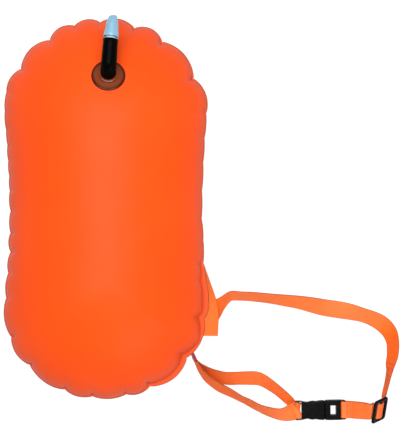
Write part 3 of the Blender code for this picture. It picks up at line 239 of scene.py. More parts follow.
# The belt's first piece ends at this station
BELT_SPLIT = 21
SHORT_UPPER = (
    (1.270, -2.127, 0.694, 41, 80), (1.316, -2.189, 0.652, 43, 72),
    (1.394, -2.267, 0.592, 50, 62), (1.500, -2.350, 0.506, 60, 50),
    (1.638, -2.420, 0.393, 76, 43), (1.784, -2.450, 0.281, 88, 39),
    (1.938, -2.457, 0.181, 91, 38), (2.101, -2.472, 0.093, 88, 34),
    (2.235, -2.512, 0.019, 70, 40), (2.374, -2.599, 0.0, 52, 48),
    (2.500, -2.697, 0.0, 50, 46, 0.86), (2.600, -2.788, 0.0, 50, 36, 0.70),
    (2.672, -2.862, 0.0, 62, 18, 0.52),
)
SHORT_LOWER = (
    (2.648, -2.986, 0.055, 90, 10), (2.560, -3.006, 0.018, 87, 28),
    (2.448, -3.000, 0.0, 78, 43), (2.286, -2.952, 0.0, 70, 53), (2.155, -2.896, 0.0, 64, 60),
    (2.006, -2.807, 0.066, 63, 63), (1.858, -2.725, 0.166, 63, 65),
    (1.681, -2.612, 0.325, 60, 58), (1.551, -2.518, 0.436, 55, 60),
    (1.436, -2.414, 0.545, 46, 65), (1.344, -2.298, 0.618, 35, 72),
    (1.288, -2.194, 0.660, 32, 77), (1.257, -2.139, 0.690, 41, 80),
)
# Anchor strip: x and y in mm where its inner edge lies under the lip, and its slope there
ANCHOR_EDGE = ((133.0, -178.6, 14), (133.6, -164.0, 14), (134.7, -150.0, 17), (134.8, -139.0, 26),
               (134.6, -128.0, 36), (134.3, -113.0, 52), (133.9, -98.0, 66), (133.3, -78.0, 82))
UNDER_LIP = 0.0868
TAB_ROUTE = ((0.1186, -0.1992), (0.1215, -0.2040), (0.1240, -0.2090), (0.1262, -0.2142))
TAB_HEIGHT = 0.0779
TAB_WIDTH = 0.018
TAB_THICKNESS = 0.0031


# Materials

def new_material(name, base, roughness, **inputs):
    """A Principled material; returns the material, its node tree and its shader."""
    material = bpy.data.materials.new(name)
    material.use_nodes = True
    tree = material.node_tree
    shader = tree.nodes["Principled BSDF"]
    shader.inputs["Base Color"].default_value = (*base, 1)
    shader.inputs["Roughness"].default_value = roughness
    for key, value in inputs.items():
        shader.inputs[key.replace("_", " ")].default_value = value
    return material, tree, shader


def add_node(tree, kind, **values):
    node = tree.nodes.new(kind)
    for key, value in values.items():
        if hasattr(node, key):
            setattr(node, key, value)
        else:
            node.inputs[key.replace("_", " ")].default_value = value
    return node


def noise_node(tree, scale, detail=2.0, rough=0.5):
    coordinates = tree.nodes.new("ShaderNodeTexCoord")
    node = add_node(tree, "ShaderNodeTexNoise", Scale=scale, Detail=detail, Roughness=rough)
    tree.links.new(coordinates.outputs["Object"], node.inputs["Vector"])
    return node.outputs["Fac"]


def map_range(tree, source, **limits):
    node = add_node(tree, "ShaderNodeMapRange", **limits)
    tree.links.new(source, node.inputs["Value"])
    return node.outputs["Result"]


def math_node(tree, operation, first, second=0.0):
    node = tree.nodes.new("ShaderNodeMath")
    node.operation = operation
    for slot, value in zip(node.inputs, (first, second)):
        if isinstance(value, (int, float)):
            slot.default_value = value
        else:
            tree.links.new(value, slot)
    return node.outputs[0]


def ramp_node(tree, source, stops):
    node = tree.nodes.new("ShaderNodeValToRGB")
    ramp = node.color_ramp
    while len(ramp.elements) < len(stops):
        ramp.elements.new(0.5)
    for element, (place, colour) in zip(ramp.elements, stops):
        element.position = place
        element.color = (*colour, 1)
    tree.links.new(source, node.inputs["Fac"])
    return node.outputs["Color"]


def mix_colour(tree, factor, first, second, mode="MIX"):
    node = tree.nodes.new("ShaderNodeMix")
    node.data_type = "RGBA"
    node.blend_type = mode
    for slot, value in ((node.inputs["Factor"], factor), (node.inputs["A"], first),
                        (node.inputs["B"], second)):
        if isinstance(value, tuple):
            slot.default_value = (*value, 1)
        elif isinstance(value, (int, float)):
            slot.default_value = value
        else:
            tree.links.new(value, slot)
    return [o for o in node.outputs if o.type == "RGBA"][0]


def bump(tree, shader, height, distance, strength=1.0, before=None):
    node = add_node(tree, "ShaderNodeBump", Distance=distance, Strength=strength)
    tree.links.new(height, node.inputs["Height"])
    if before:
        tree.links.new(before.outputs["Normal"], node.inputs["Normal"])
    tree.links.new(node.outputs["Normal"], shader.inputs["Normal"])
    return node


def attribute(tree, name):
    node = tree.nodes.new("ShaderNodeAttribute")
    node.attribute_name = name
    return node.outputs["Fac"]


def pvc_material():
    """Glossy orange PVC sheet: fine grain, soft waves, darker cut edge, painted reflection at the
    weld.
    """
    material, tree, shader = new_material(
        "float_pvc", (0.63, 0.056, 0.0055), 0.40, Specular_IOR_Level=0.055)
    tone = ramp_node(tree, noise_node(tree, 9.0, 3.0, 0.55),
                     [(0.30, (0.62, 0.053, 0.0050)), (0.70, (0.65, 0.059, 0.0060))])
    # Painted reflection: the orange is lightened and pinked towards the weld and on the lip
    weld = math_node(tree, "MULTIPLY", attribute(tree, "weld"), 0.55)
    pale = mix_colour(tree, weld, tone, (0.52, 0.070, 0.028))
    edge = mix_colour(tree, attribute(tree, "rim"), pale, (0.15, 0.040, 0.022))
    tree.links.new(edge, shader.inputs["Base Color"])
    gloss = map_range(tree, noise_node(tree, 30.0, 4.0, 0.6), To_Min=0.36, To_Max=0.48)
    tree.links.new(gloss, shader.inputs["Roughness"])
    waves = bump(tree, shader, noise_node(tree, 26.0, 2.0, 0.4), 0.0010)
    bump(tree, shader, noise_node(tree, 1400.0, 2.0, 0.6), 0.00005, 0.5, waves)
    return material


def webbing_material(name, base, painted_hollow_shade, edge_colour, painted_sheen):
    """Flat woven webbing: ribs across it, lengthwise yarns, bound edges and a little soiling, with
    painted shade in the hollows of the weave and a painted sheen by a share that each strap gives.
    """
    material, tree, shader = new_material(name, base, 0.55, Specular_IOR_Level=0.05)
    along, across = attribute(tree, "along"), attribute(tree, "across")
    turn = 2 * math.pi
    zigzag = math_node(tree, "PINGPONG", math_node(tree, "MULTIPLY", across, WEBBING_WIDTH * 2),
                       WEBBING_WIDTH / 4)
    slanted = math_node(tree, "ADD", along, zigzag)
    ribs = math_node(tree, "SINE", math_node(tree, "MULTIPLY", slanted, turn / RIB_PITCH))
    yarns = math_node(tree, "SINE", math_node(tree, "MULTIPLY", across, turn * YARNS))
    product = math_node(tree, "MULTIPLY", ribs, yarns)
    height = math_node(tree, "ADD", math_node(tree, "MULTIPLY", ribs, 0.6),
                       math_node(tree, "MULTIPLY", product, 0.5))
    height = math_node(tree, "ADD", height, noise_node(tree, 2600.0, 2.0, 0.7))
    bump(tree, shader, height, 0.00016, 0.9)
    # Painted shade darkens the weave's low parts, and a painted sheen lightens the strap by its
    # share
    depth = math_node(tree, "MULTIPLY", math_node(tree, "ADD", height, 1.0), 0.4)
    woven = mix_colour(tree, depth, painted_hollow_shade,
                       mix_colour(tree, attribute(tree, "painted_sheen"), base, painted_sheen))
    soil = ramp_node(tree, noise_node(tree, 22.0, 3.0, 0.6),
                     [(0.30, (0.90, 0.88, 0.86)), (0.65, (1.0, 1.0, 1.0))])
    toned = mix_colour(tree, 1.0, woven, soil, "MULTIPLY")
    edge = map_range(tree, math_node(tree, "ABSOLUTE", across),
                     From_Min=0.455, From_Max=0.495)
    tree.links.new(mix_colour(tree, edge, toned, edge_colour), shader.inputs["Base Color"])
    return material


def plastic_material(name, base, roughness, grain_scale=900.0, grain=0.00004, variation=0.15,
                     rim=None, **inputs):
    """Moulded plastic or rubber: fine grain, uneven gloss and a slight change of tone."""
    material, tree, shader = new_material(name, base, roughness, **inputs)
    patch = noise_node(tree, 60.0, 3.0, 0.6)
    gloss = map_range(tree, patch, To_Min=roughness * 0.8, To_Max=roughness * 1.25)
    tree.links.new(gloss, shader.inputs["Roughness"])
    darker = tuple(c * (1 - variation) for c in base)
    lighter = tuple(min(1, c * (1 + variation)) for c in base)
    tone = ramp_node(tree, patch, [(0.3, darker), (0.7, lighter)])
    if rim:
        tone = mix_colour(tree, attribute(tree, "rim"), tone, rim)
    tree.links.new(tone, shader.inputs["Base Color"])
    bump(tree, shader, noise_node(tree, grain_scale, 2.0, 0.6), grain, 0.6)
    return material


PVC = pvc_material()
# Webbing colours: base, painted shade of the weave's hollows, edge, painted sheen
WEBBING = webbing_material("webbing", (0.82, 0.125, 0.012), (0.66, 0.095, 0.012),
                           (0.36, 0.055, 0.014), (0.83, 0.205, 0.066))
THREAD = plastic_material("thread", (0.60, 0.075, 0.012), 0.6, 3000.0, 0.0001)
TAB_PVC = plastic_material("anchor_pvc", (0.20, 0.009, 0.012), 0.40, 500.0, 0.00006,
                           Specular_IOR_Level=0.1)
FLANGE = plastic_material("flange_pvc", (0.138, 0.029, 0.010), 0.15, 300.0, 0.00002,
                          rim=(0.040, 0.006, 0.003), Specular_IOR_Level=0.18)
BLACK = plastic_material("black_rubber", (0.0015, 0.0014, 0.0013), 0.18, 700.0, 0.00002,
                         Specular_IOR_Level=0.010)
BUCKLE = plastic_material("buckle_plastic", (0.0025, 0.0025, 0.0027), 0.27, 1500.0, 0.00004,
                          Specular_IOR_Level=0.05)
BLUE = plastic_material("blue_plastic", (0.150, 0.285, 0.385), 0.34, 600.0, 0.00003, 0.05,
                        Subsurface_Weight=0.15, Subsurface_Scale=0.004)
GREY = plastic_material("grey_plastic", (0.28, 0.38, 0.44), 0.35, 600.0, 0.00003, 0.04)
SEAL = plastic_material("seal_rubber", (0.05, 0.05, 0.05), 0.6)
STEEL = plastic_material("spring_steel", (0.55, 0.55, 0.57), 0.25, Metallic=1.0)


# Meshes

def add_object(name, data):
    obj = bpy.data.objects.new(name, data)
    bpy.context.scene.collection.objects.link(obj)
    return obj


def new_object(name, vertices, faces, material, attributes=None):
    mesh = bpy.data.meshes.new(name)
    mesh.from_pydata([tuple(v) for v in vertices], [], faces)
    mesh.validate()
    mesh.update()
    for key, values in (attributes or {}).items():
        layer = mesh.attributes.new(key, "FLOAT", "POINT")
        layer.data.foreach_set("value", np.asarray(values, np.float32))
    mesh.shade_smooth()
    mesh.materials.append(material)
    return add_object(name, mesh)


def tidy_normals(obj, merge=0.0):
    """Turns the faces outward, after merging points that lie closer together than merge."""
    clean = bmesh.new()
    clean.from_mesh(obj.data)
    if merge:
        bmesh.ops.remove_doubles(clean, verts=clean.verts, dist=merge)
    bmesh.ops.recalc_face_normals(clean, faces=clean.faces)
    clean.to_mesh(obj.data)
    clean.free()


def grid_faces(rows, columns, ring=False):
    """Quads between rows of points that close on themselves; in a ring the last row meets
    the first."""
    faces = []
    for row in range(rows if ring else rows - 1):
        low, high = row * columns, (row + 1) % rows * columns
        for column in range(columns):
            after = (column + 1) % columns
            faces.append((low + column, low + after, high + after, high + column))
    return faces


def cap_faces(rows, columns):
    """The two faces that close the first and the last row of a grid."""
    return [tuple(range(columns))[::-1], tuple(range((rows - 1) * columns, rows * columns))]


def frame_matrix(place, z_axis, x_hint=Vector((1, 0, 0))):
    z_axis = z_axis.normalized()
    x_axis = (x_hint - z_axis * x_hint.dot(z_axis)).normalized()
    matrix = Matrix((x_axis, z_axis.cross(x_axis), z_axis)).transposed().to_4x4()
    matrix.translation = place
    return matrix


def circle(steps):
    """The cosine and sine of each step round a circle."""
    turns = [2 * math.pi * step / steps for step in range(steps)]
    return [(math.cos(turn), math.sin(turn)) for turn in turns]


def lathe(name, profile, matrix, material, steps=64, bevel=0.0, shape=None):
    """Turns a closed profile of (radius, height) points about the matrix's Z."""
    points = round_profile(profile, bevel) if bevel else profile
    vertices = []
    for radius, height in points:
        for x, y in circle(steps):
            local = Vector((radius * x, radius * y, height))
            vertices.append(matrix @ (shape(local) if shape else local))
    obj = new_object(name, vertices, grid_faces(len(points), steps, ring=True), material)
    tidy_normals(obj, MERGE_DISTANCE)
    return obj


def round_profile(profile, radius, steps=4):
    """Rounds the corners of a closed profile, except those on its axis and the slight ones."""
    count = len(profile)
    points = []
    for index, (x, y) in enumerate(profile):
        corner = Vector((x, y))
        back = Vector(profile[index - 1]) - corner
        ahead = Vector(profile[(index + 1) % count]) - corner
        if x < MERGE_DISTANCE or math.pi - back.angle(ahead) < SLIGHT_CORNER:
            points.append((x, y))
            continue
        reach = min(radius, back.length * 0.45, ahead.length * 0.45)
        start, end = corner + back.normalized() * reach, corner + ahead.normalized() * reach
        for step in range(steps + 1):
            share = step / steps
            first, second = start.lerp(corner, share), corner.lerp(end, share)
            spot = first.lerp(second, share)
            points.append((spot.x, spot.y))
    return points


def catmull(points, steps):
    """A smooth curve through points: Catmull-Rom, the same number of steps in each span."""
    result = []
    last = len(points) - 1
    for index in range(last):
        before, start = points[max(index - 1, 0)], points[index]
        end, after = points[index + 1], points[min(index + 2, last)]
        for step in range(steps):
            t = step / steps
            result.append(0.5 * (2 * start + (end - before) * t
                                 + (2 * before - 5 * start + 4 * end - after) * t * t
                                 + (3 * start - before - 3 * end + after) * t ** 3))
    result.append(points[-1])
    return result


# Float

def scalloped_outline():
    """The seam's outer edge, the distance to the nearest notch and that notch's depth."""
    notches = [Vector((x * MM, y * MM, 0)) for x, y, _, _ in NOTCHES]
    count = len(notches)
    lengths = [(notches[(i + 1) % count] - notches[i]).length for i in range(count)]
    total = sum(lengths)
    outline, crease, depths = [], [], []
    for index, (_, _, stand, depth) in enumerate(NOTCHES):
        after = (index + 1) % count
        start, chord = notches[index], notches[after] - notches[index]
        steps = max(4, round(OUTLINE_STEPS * lengths[index] / total))
        out = Vector((-chord.y, chord.x, 0)).normalized()
        if out.dot(start) < 0:
            out = -out
        for step in range(steps):
            u = step / steps
            bow = math.sin(math.pi * u) ** SCALLOP_POWER
            outline.append(tuple(start + chord * u + out * (stand * MM) * bow))
            crease.append(min(u, 1 - u) * lengths[index])
            depths.append((depth if u < 0.5 else NOTCHES[after][3]) * CREASE_SHARE * MM)
    return np.array(outline), np.array(crease), np.array(depths)


def smooth_ring(ring, width):
    """Rounds a closed ring of values by a moving weighted mean."""
    offsets = np.arange(-3 * width, 3 * width + 1)
    weights = np.exp(-0.5 * (offsets / width) ** 2)
    weights /= weights.sum()
    return sum(weight * np.roll(ring, -offset, axis=0)
               for offset, weight in zip(offsets, weights))


def outward_directions(ring):
    """Unit vectors in the seam's plane that point out of a closed ring."""
    tangent = np.roll(ring, -1, axis=0) - np.roll(ring, 1, axis=0)
    outward = np.stack([tangent[:, 1], -tangent[:, 0], np.zeros(len(ring))], axis=1)
    outward /= np.linalg.norm(outward, axis=1)[:, None]
    return -outward if (outward * ring).sum() < 0 else outward


def lip_widths(ring):
    """The weld lip's width along the seam, wider where the straps are sewn on."""
    widths = np.full(len(ring), LIP_WIDTH)
    for x, y, reach in WIDE_LIPS:
        away = np.hypot(ring[:, 0] - x, ring[:, 1] - y)
        widths = np.maximum(widths, LIP_WIDTH + (ANCHOR_LIP_WIDTH - LIP_WIDTH)
                            * np.exp(-(away / reach) ** 4))
    return widths


def seam_ripple(count):
    """How much the seam rises and falls along its length."""
    random.seed(7)
    ripple = np.zeros(count)
    for wave in RIPPLE_WAVES:
        phase = random.random() * 2 * math.pi
        ripple += np.cos(2 * math.pi * wave * np.arange(count) / count + phase) / wave ** 0.6
    return ripple * RIPPLE_HEIGHT / np.abs(ripple).max()


def build_float():
    """Both panels and the weld lip as one skin, made of rings from middle to middle."""
    sharp, crease, depths = scalloped_outline()
    count = len(sharp)
    broad = smooth_ring(sharp, BROAD_BLUR)
    outward = outward_directions(broad)
    grow = ((sharp - broad) * outward).sum(axis=1)[:, None]
    broad = broad + outward * smooth_ring(grow, GROWTH_BLUR)
    lip = lip_widths(broad)[:, None]
    weld, broad_weld = sharp - outward * lip, broad - outward * lip
    spine = np.zeros_like(broad)
    spine[:, 1] = np.clip(broad[:, 1], -SPINE_HALF_LENGTH, SPINE_HALF_LENGTH)
    reach = np.linalg.norm(broad_weld - spine, axis=1)[:, None]
    ripple = seam_ripple(count)

    def panel_rows(side):
        """Rings from the panel's middle to the weld, each with its rim and painted reflection
        shares.
        """
        result = []
        for step in range(PANEL_STEPS + 1):
            share = math.sin(math.pi / 2 * (step + FIRST_STEP) / (PANEL_STEPS + FIRST_STEP))
            rise = math.sqrt(1 - share ** 2)
            height = PANEL_RISE * max(0.0, 1 - share ** 2) ** FULLNESS
            inward = (1 - share) * reach
            fade = np.clip(1 - inward / CREASE_REACH, 0, 1)[:, 0] ** 1.6
            scalloped = np.clip(1 - inward / SCALLOP_REACH, 0, 1) ** 1.5
            ring = spine + (broad_weld + (weld - broad_weld) * scalloped - spine) * share
            ring[:, 2] = SEAM_HEIGHT + side * (height + LIP_HALF_THICKNESS)
            valley = np.exp(-crease / (CREASE_WIDTH + CREASE_SPREAD * inward[:, 0]))
            strength = depths * valley * fade
            ring -= outward * (strength * (1 - rise) * CREASE_PULL)[:, None]
            sink = CREASE_SINK + (1 - CREASE_SINK) * rise
            ring[:, 2] -= side * strength * sink * min(1.0, height / CREASE_START)
            ring[:, 2] += ripple * fade
            if side < 0:
                ring[:, 2] = np.maximum(ring[:, 2], 0.0)
            # The last value is the share of painted reflection, rising over the panel's outer band
            result.append((ring, 0.0, max(0.0, (share - 1 + REFLECTION_BAND) / REFLECTION_BAND)))
        return result

    def lip_rows(side):
        """Rings on one face of the lip, from near the weld out to its edge."""
        result = []
        for inset, rim in LIP_RINGS:
            ring = sharp - outward * inset
            at_edge = inset == 0
            ring[:, 2] = (SEAM_HEIGHT + side * LIP_HALF_THICKNESS * (0.5 if at_edge else 1)
                          + ripple * (2 if at_edge else 1.5))
            result.append((ring, rim, LIP_REFLECTION_SHARE))
        return result

    rows = panel_rows(1) + lip_rows(1) + lip_rows(-1)[::-1] + panel_rows(-1)[::-1]
    rings, rims, reflection_shares = zip(*rows)
    # The weld attribute carries each ring's share of painted reflection
    skin = new_object("float_skin", np.concatenate(rings),
                      grid_faces(len(rows), count) + cap_faces(len(rows), count), PVC,
                      {"rim": np.repeat(rims, count), "weld": np.repeat(reflection_shares, count)})
    tidy_normals(skin)
    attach(skin, "float")
    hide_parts("front_panel", "back_panel")
    return skin


# Valve

def build_flange(skin):
    """The flange is draped on the float's skin, with a raised rim and a step round the collar."""
    mesh = skin.data
    tree = BVHTree.FromPolygons([v.co.copy() for v in mesh.vertices],
                                [tuple(p.vertices) for p in mesh.polygons])
    matrix = frame_matrix(VALVE_PLACE, VALVE_AXIS)
    axis = VALVE_AXIS.normalized()
    steps = 96
    vertices = []
    for radius, height in FLANGE_PROFILE:
        for x, y in circle(steps):
            spot = matrix @ Vector((radius * x, radius * y, 0))
            hit = tree.ray_cast(spot + axis * 0.02, -axis)[0]
            vertices.append((hit or spot) + axis * height)
    rims = [max(0.0, min(1.0, (radius - RIM_RADIUS) / RIM_FADE)) for radius, _ in FLANGE_PROFILE]
    flange = new_object("flange_disc", vertices,
                        grid_faces(len(FLANGE_PROFILE), steps, ring=True), FLANGE,
                        {"rim": np.repeat(rims, steps)})
    tidy_normals(flange)
    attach(flange, "float")
    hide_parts("valve_flange")
    collar = lathe("flange_collar", [
        (0.0046, 0.0096), (0.0063, 0.0096), (0.0063, COLLAR_TOP), (0.0108, COLLAR_TOP),
        (0.0126, COLLAR_TOP - 0.0006), (COLLAR_RADIUS, 0.0012), (COLLAR_RADIUS, -0.0002),
        (0.0080, -0.0004), (0.0080, -0.0064), (0.0046, -0.0064),
    ], matrix, FLANGE, 72, 0.0006)
    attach(collar, "float")
    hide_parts("valve_neck")


def tube_points():
    """The tube's middle line: a short rise, the bend, and the straight to its end."""
    up, out = VALVE_AXIS.normalized(), MOUTH_AXIS.normalized()
    across = (out - up * out.dot(up)).normalized()
    bend = up.angle(out)
    start = VALVE_PLACE + up * (COLLAR_TOP + SEAT_GAP)
    base = start + up * TUBE_RISE
    points = [start, start + up * TUBE_RISE * 0.5, base]
    for step in range(1, 25):
        angle = bend * step / 24
        points.append(base + up * TUBE_BEND_RADIUS * math.sin(angle)
                      + across * TUBE_BEND_RADIUS * (1 - math.cos(angle)))
    corner = points[-1]
    return points + [corner.lerp(MOUTH_PLACE, step / 6) for step in range(1, 7)]


def build_tube():
    """The elbow tube, with a rounded foot and a rolled lip at its end, and its bore."""
    points = tube_points()
    last = len(points) - 1
    lengths = [0.0]
    for first, second in zip(points, points[1:]):
        lengths.append(lengths[-1] + (second - first).length)
    side = VALVE_AXIS.cross(MOUTH_AXIS).normalized()
    steps = 48

    def ring(index, radius):
        before, after = points[max(index - 1, 0)], points[min(index + 1, last)]
        other = (after - before).normalized().cross(side).normalized()
        return [points[index] + side * radius * x + other * radius * y
                for x, y in circle(steps)]

    rings = [(0, radius) for radius in TUBE_FOOT_RADII]
    for index in range(1, last + 1):
        place = lengths[index]
        swell = TUBE_LIP_SWELL * math.exp(-((lengths[-1] - place) / TUBE_LIP_LENGTH) ** 2)
        swell += TUBE_FOOT_SWELL * math.exp(-(place / TUBE_FOOT_LENGTH) ** 2)
        taper = TUBE_TAPER * (1 - place / lengths[-1])
        rings.append((index, TUBE_RADIUS + taper + swell))
    rings.append((last, TUBE_RADIUS - 0.0004))
    rings += [(index, TUBE_BORE_RADIUS) for index in range(last, -1, -1)]
    vertices = [vertex for index, radius in rings for vertex in ring(index, radius)]
    tube = new_object("elbow_tube", vertices, grid_faces(len(rings), steps, ring=True), BLACK)
    tidy_normals(tube)
    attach(tube, "float")
    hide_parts("inflation_tube")


def build_mouthpiece():
    """The pale collar in the tube's end, and the hollow mouthpiece that slides on it."""
    matrix = frame_matrix(MOUTH_PLACE, MOUTH_AXIS)
    collar = lathe("valve_collar", [
        (0.0046, 0.0090), (0.0063, 0.0090), (0.0063, 0.0011), (0.0098, 0.0011),
        (0.0098, 0.0003), (0.0063, 0.0003), (0.0063, -0.0110), (0.0024, -0.0110),
        (0.0024, -0.0090), (0.0046, -0.0090),
    ], matrix, GREY, 64, 0.0003)
    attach(collar, "float")
    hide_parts("valve_body")

    def slant(local):
        """The tip is cut aslant, and the bite end is a little flattened."""
        share = max(0.0, min(1.0, (local.z - MOUTH_BASE) / MOUTH_LENGTH))
        flat = 1 - 0.12 * max(0.0, share - 0.55) / 0.45
        tilt = 0.16 * local.x * max(0.0, share - 0.80) / 0.20
        return Vector((local.x, local.y * flat, local.z + tilt))

    profile = [(0.0029, MOUTH_BASE + MOUTH_LENGTH), (0.0046, MOUTH_BASE + MOUTH_LENGTH)]
    profile += [(radius, MOUTH_BASE + MOUTH_LENGTH * share) for share, radius in MOUTH_PROFILE]
    profile += [(0.0066, MOUTH_BASE), (0.0066, MOUTH_BASE + 0.0082), (0.0029, MOUTH_BASE + 0.0082)]
    mouth = lathe("mouth_cone", profile, matrix, BLUE, 72, 0.0, slant)
    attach(mouth, "mouthpiece_unit")
    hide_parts("mouthpiece")


def build_spring():
    """The coil behind the mouthpiece, built at rest; the real coil shortens as the mouthpiece is
    pressed.
    """
    matrix = frame_matrix(MOUTH_PLACE, MOUTH_AXIS)
    low, high = COIL_ENDS
    per_turn, sides = 24, 10
    steps = COIL_TURNS * per_turn
    vertices = []
    for index in range(steps + 1):
        angle = 2 * math.pi * index / per_turn
        outward = Vector((math.cos(angle), math.sin(angle), 0))
        centre = outward * COIL_RADIUS + Vector((0, 0, low + (high - low) * index / steps))
        for out, up in circle(sides):
            vertices.append(matrix @ (centre + (outward * out + Vector((0, 0, up))) * WIRE_RADIUS))
    coil = new_object("valve_coil", vertices,
                      grid_faces(steps + 1, sides) + cap_faces(steps + 1, sides), STEEL)
    tidy_normals(coil)
    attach(coil, "float")
    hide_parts("valve_spring")
    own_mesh(coil)


# Webbing: a strap runs through stations of centre, width direction and share of the width left

def width_vector(direction_deg, slope_deg):
    direction, slope = math.radians(direction_deg), math.radians(slope_deg)
    return Vector((math.cos(direction) * math.cos(slope),
                   math.sin(direction) * math.cos(slope), math.sin(slope)))


def resting_height(slope_deg, share):
    """The height of a strap's middle when its lower edge rests on the floor."""
    slope = math.radians(slope_deg)
    return (FLOOR_GAP + abs(math.sin(slope)) * share * WEBBING_WIDTH / 2
            + abs(math.cos(slope)) * WEBBING_THICKNESS / 2)


def route(rows):
    """The stations of a strap from its table."""
    stations = []
    for x, y, lift, direction, slope, *gathered in rows:
        share = gathered[0] if gathered else 1.0
        height = resting_height(slope, share) + lift * SEAM_HEIGHT
        stations.append((Vector((x * STRAP_LAY, y * STRAP_LAY, height)),
                         width_vector(direction, slope), share))
    return stations


def to_world(stations, matrix):
    turn = matrix.to_3x3()
    return [(matrix @ s[0], turn @ s[1], *s[2:]) for s in stations]


def ribbon(stations, steps):
    """A strap's smooth run: its centres, its width directions and its shares of the width."""
    return (catmull([s[0] for s in stations], steps),
            [w.normalized() for w in catmull([s[1] for s in stations], steps)],
            catmull([s[2] if len(s) > 2 else 1.0 for s in stations], steps))


def ribbon_frame(centres, widths, index):
    """Directions along the strap, across it and out of its upper face."""
    before, after = centres[max(index - 1, 0)], centres[min(index + 1, len(centres) - 1)]
    tangent = (after - before).normalized()
    wide = (widths[index] - tangent * widths[index].dot(tangent)).normalized()
    return tangent, wide, tangent.cross(wide).normalized()


def webbing_section(columns=13):
    """The cross-section, going round once, in shares of half the width and half the thickness."""
    row = [((-1 + 2 * index / (columns - 1)) * FLAT_SHARE, 1) for index in range(columns)]
    return (row + [(1.0, 0.45), (1.0, -0.45)] + [(x, -z) for x, z in row[::-1]]
            + [(-1.0, -0.45), (-1.0, 0.45)])


def strap(name, stations, body, nodes, material=None, steps=8, width=WEBBING_WIDTH,
          thickness=WEBBING_THICKNESS, painted_sheen=None, span=None):
    """A woven strap with rounded edges. Where no share of painted sheen is given, a painted sheen
    lightens it the more it runs along X.
    span keeps only the part between two stations of the same smooth run."""
    centres, widths, shares = ribbon(stations, steps)
    section = webbing_section()
    vertices, along, across, sheen_shares = [], [], [], []
    first, last = span or (0, len(stations) - 1)
    travelled = sum((centres[i + 1] - centres[i]).length for i in range(first * steps))
    for index in range(first * steps, last * steps + 1):
        centre = centres[index]
        tangent, wide, normal = ribbon_frame(centres, widths, index)
        if index > first * steps:
            travelled += (centre - centres[index - 1]).length
        for x, z in section:
            vertices.append(centre + wide * x * (width / 2) * shares[index]
                            + normal * z * (thickness / 2))
            along.append(travelled)
            across.append(x / 2)
            # Painted sheen: a strap is lighter the more it runs along X, unless a share is given
            sheen_shares.append(tangent.x ** 4 if painted_sheen is None else painted_sheen)
    rings = (last - first) * steps + 1
    obj = new_object(name, vertices, grid_faces(rings, len(section))
                     + cap_faces(rings, len(section)), material or WEBBING,
                     {"along": along, "across": across, "painted_sheen": sheen_shares})
    tidy_normals(obj)
    for cap in obj.data.polygons[-2:]:
        cap.use_smooth = False
    if body:
        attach(obj, body)
    if nodes:
        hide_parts(*nodes)
    return obj


def stitches(name, stations, rings, steps=8, count=11):
    """Rows of stitches across a strap's upper face, one at each ring in the list."""
    centres, widths, _ = ribbon(stations, steps)
    pitch = WEBBING_WIDTH * STITCHED_SHARE / count
    sides = 6
    vertices, faces = [], []
    for ring in rings:
        tangent, wide, normal = ribbon_frame(centres, widths, ring)
        if normal.z < 0:
            normal = -normal
        reach = (wide * 0.84 + tangent * 0.25) * pitch / 2
        for index in range(count):
            middle = centres[ring] + normal * WEBBING_THICKNESS / 2
            middle += wide * pitch * (index - (count - 1) / 2)
            start = len(vertices)
            for along, swell in STITCH_PROFILE:
                for up, ahead in circle(sides):
                    vertices.append(middle + reach * along
                                    + (normal * up + tangent * ahead) * swell * THREAD_RADIUS)
            rows = len(STITCH_PROFILE)
            faces += [tuple(start + i for i in face)
                      for face in grid_faces(rows, sides) + cap_faces(rows, sides)]
    obj = new_object(name, vertices, faces, THREAD)
    tidy_normals(obj)
    return obj


def hairpin(bar, towards):
    """Half a turn round a buckle's bar, bulging towards -X where towards is 1."""
    middle = bar - towards * HAIRPIN_SETBACK
    points = []
    for step in range(7):
        angle = -math.pi / 2 + math.pi * step / 6
        points.append((Vector((middle - towards * WRAP_RADIUS * math.cos(angle), 0,
                               WRAP_RADIUS * math.sin(angle))), FLAT_WIDTH))
    return points


# Slider and plug

def slider_matrix():
    """The slider's frame: Y along its bars, and X as near as can be to the way it leans."""
    bars, guess = width_vector(*SLIDER_BARS), width_vector(*SLIDER_LEAN)
    along = (guess - bars * guess.dot(bars)).normalized()
    matrix = Matrix((along, bars, along.cross(bars))).transposed().to_4x4()
    matrix.translation = SLIDER_PLACE
    return matrix


BUCKLE_MATRIX = Matrix.Translation(BUCKLE_PLACE) @ Matrix.Rotation(BUCKLE_TURN, 4, "Z")
SLIDER_MATRIX = slider_matrix()


def rounded_loop(x_low, x_high, half_y, radius, steps=6):
    """A rectangle with round corners, going round once."""
    loop = []
    for corner, (x, y) in enumerate(((x_high, half_y), (x_low, half_y),
                                     (x_low, -half_y), (x_high, -half_y))):
        sign_x, sign_y = math.copysign(1, x - (x_low + x_high) / 2), math.copysign(1, y)
        for step in range(steps + 1):
            angle = math.pi / 2 * (corner + step / steps)
            loop.append(Vector((x - sign_x * radius + radius * math.cos(angle),
                                y - sign_y * radius + radius * math.sin(angle), 0)))
    return loop


def soft_profile(half_width, half_height, count=16):
    """A closed cross-section with full, rounded corners."""
    return [(math.copysign(abs(across) ** 0.5, across) * half_width,
             math.copysign(abs(up) ** 0.5, up) * half_height) for across, up in circle(count)]


def bar_between(start, end, half_width, half_height, matrix):
    """Vertices and faces of a straight moulded bar along Y with closed ends."""
    side = Vector((1, 0, 0))
    up = (end - start).normalized().cross(side)
    profile = soft_profile(half_width, half_height)
    vertices = [matrix @ (centre + side * x + up * z) for centre in (start, end)
                for x, z in profile]
    return vertices, grid_faces(2, len(profile)) + cap_faces(2, len(profile))


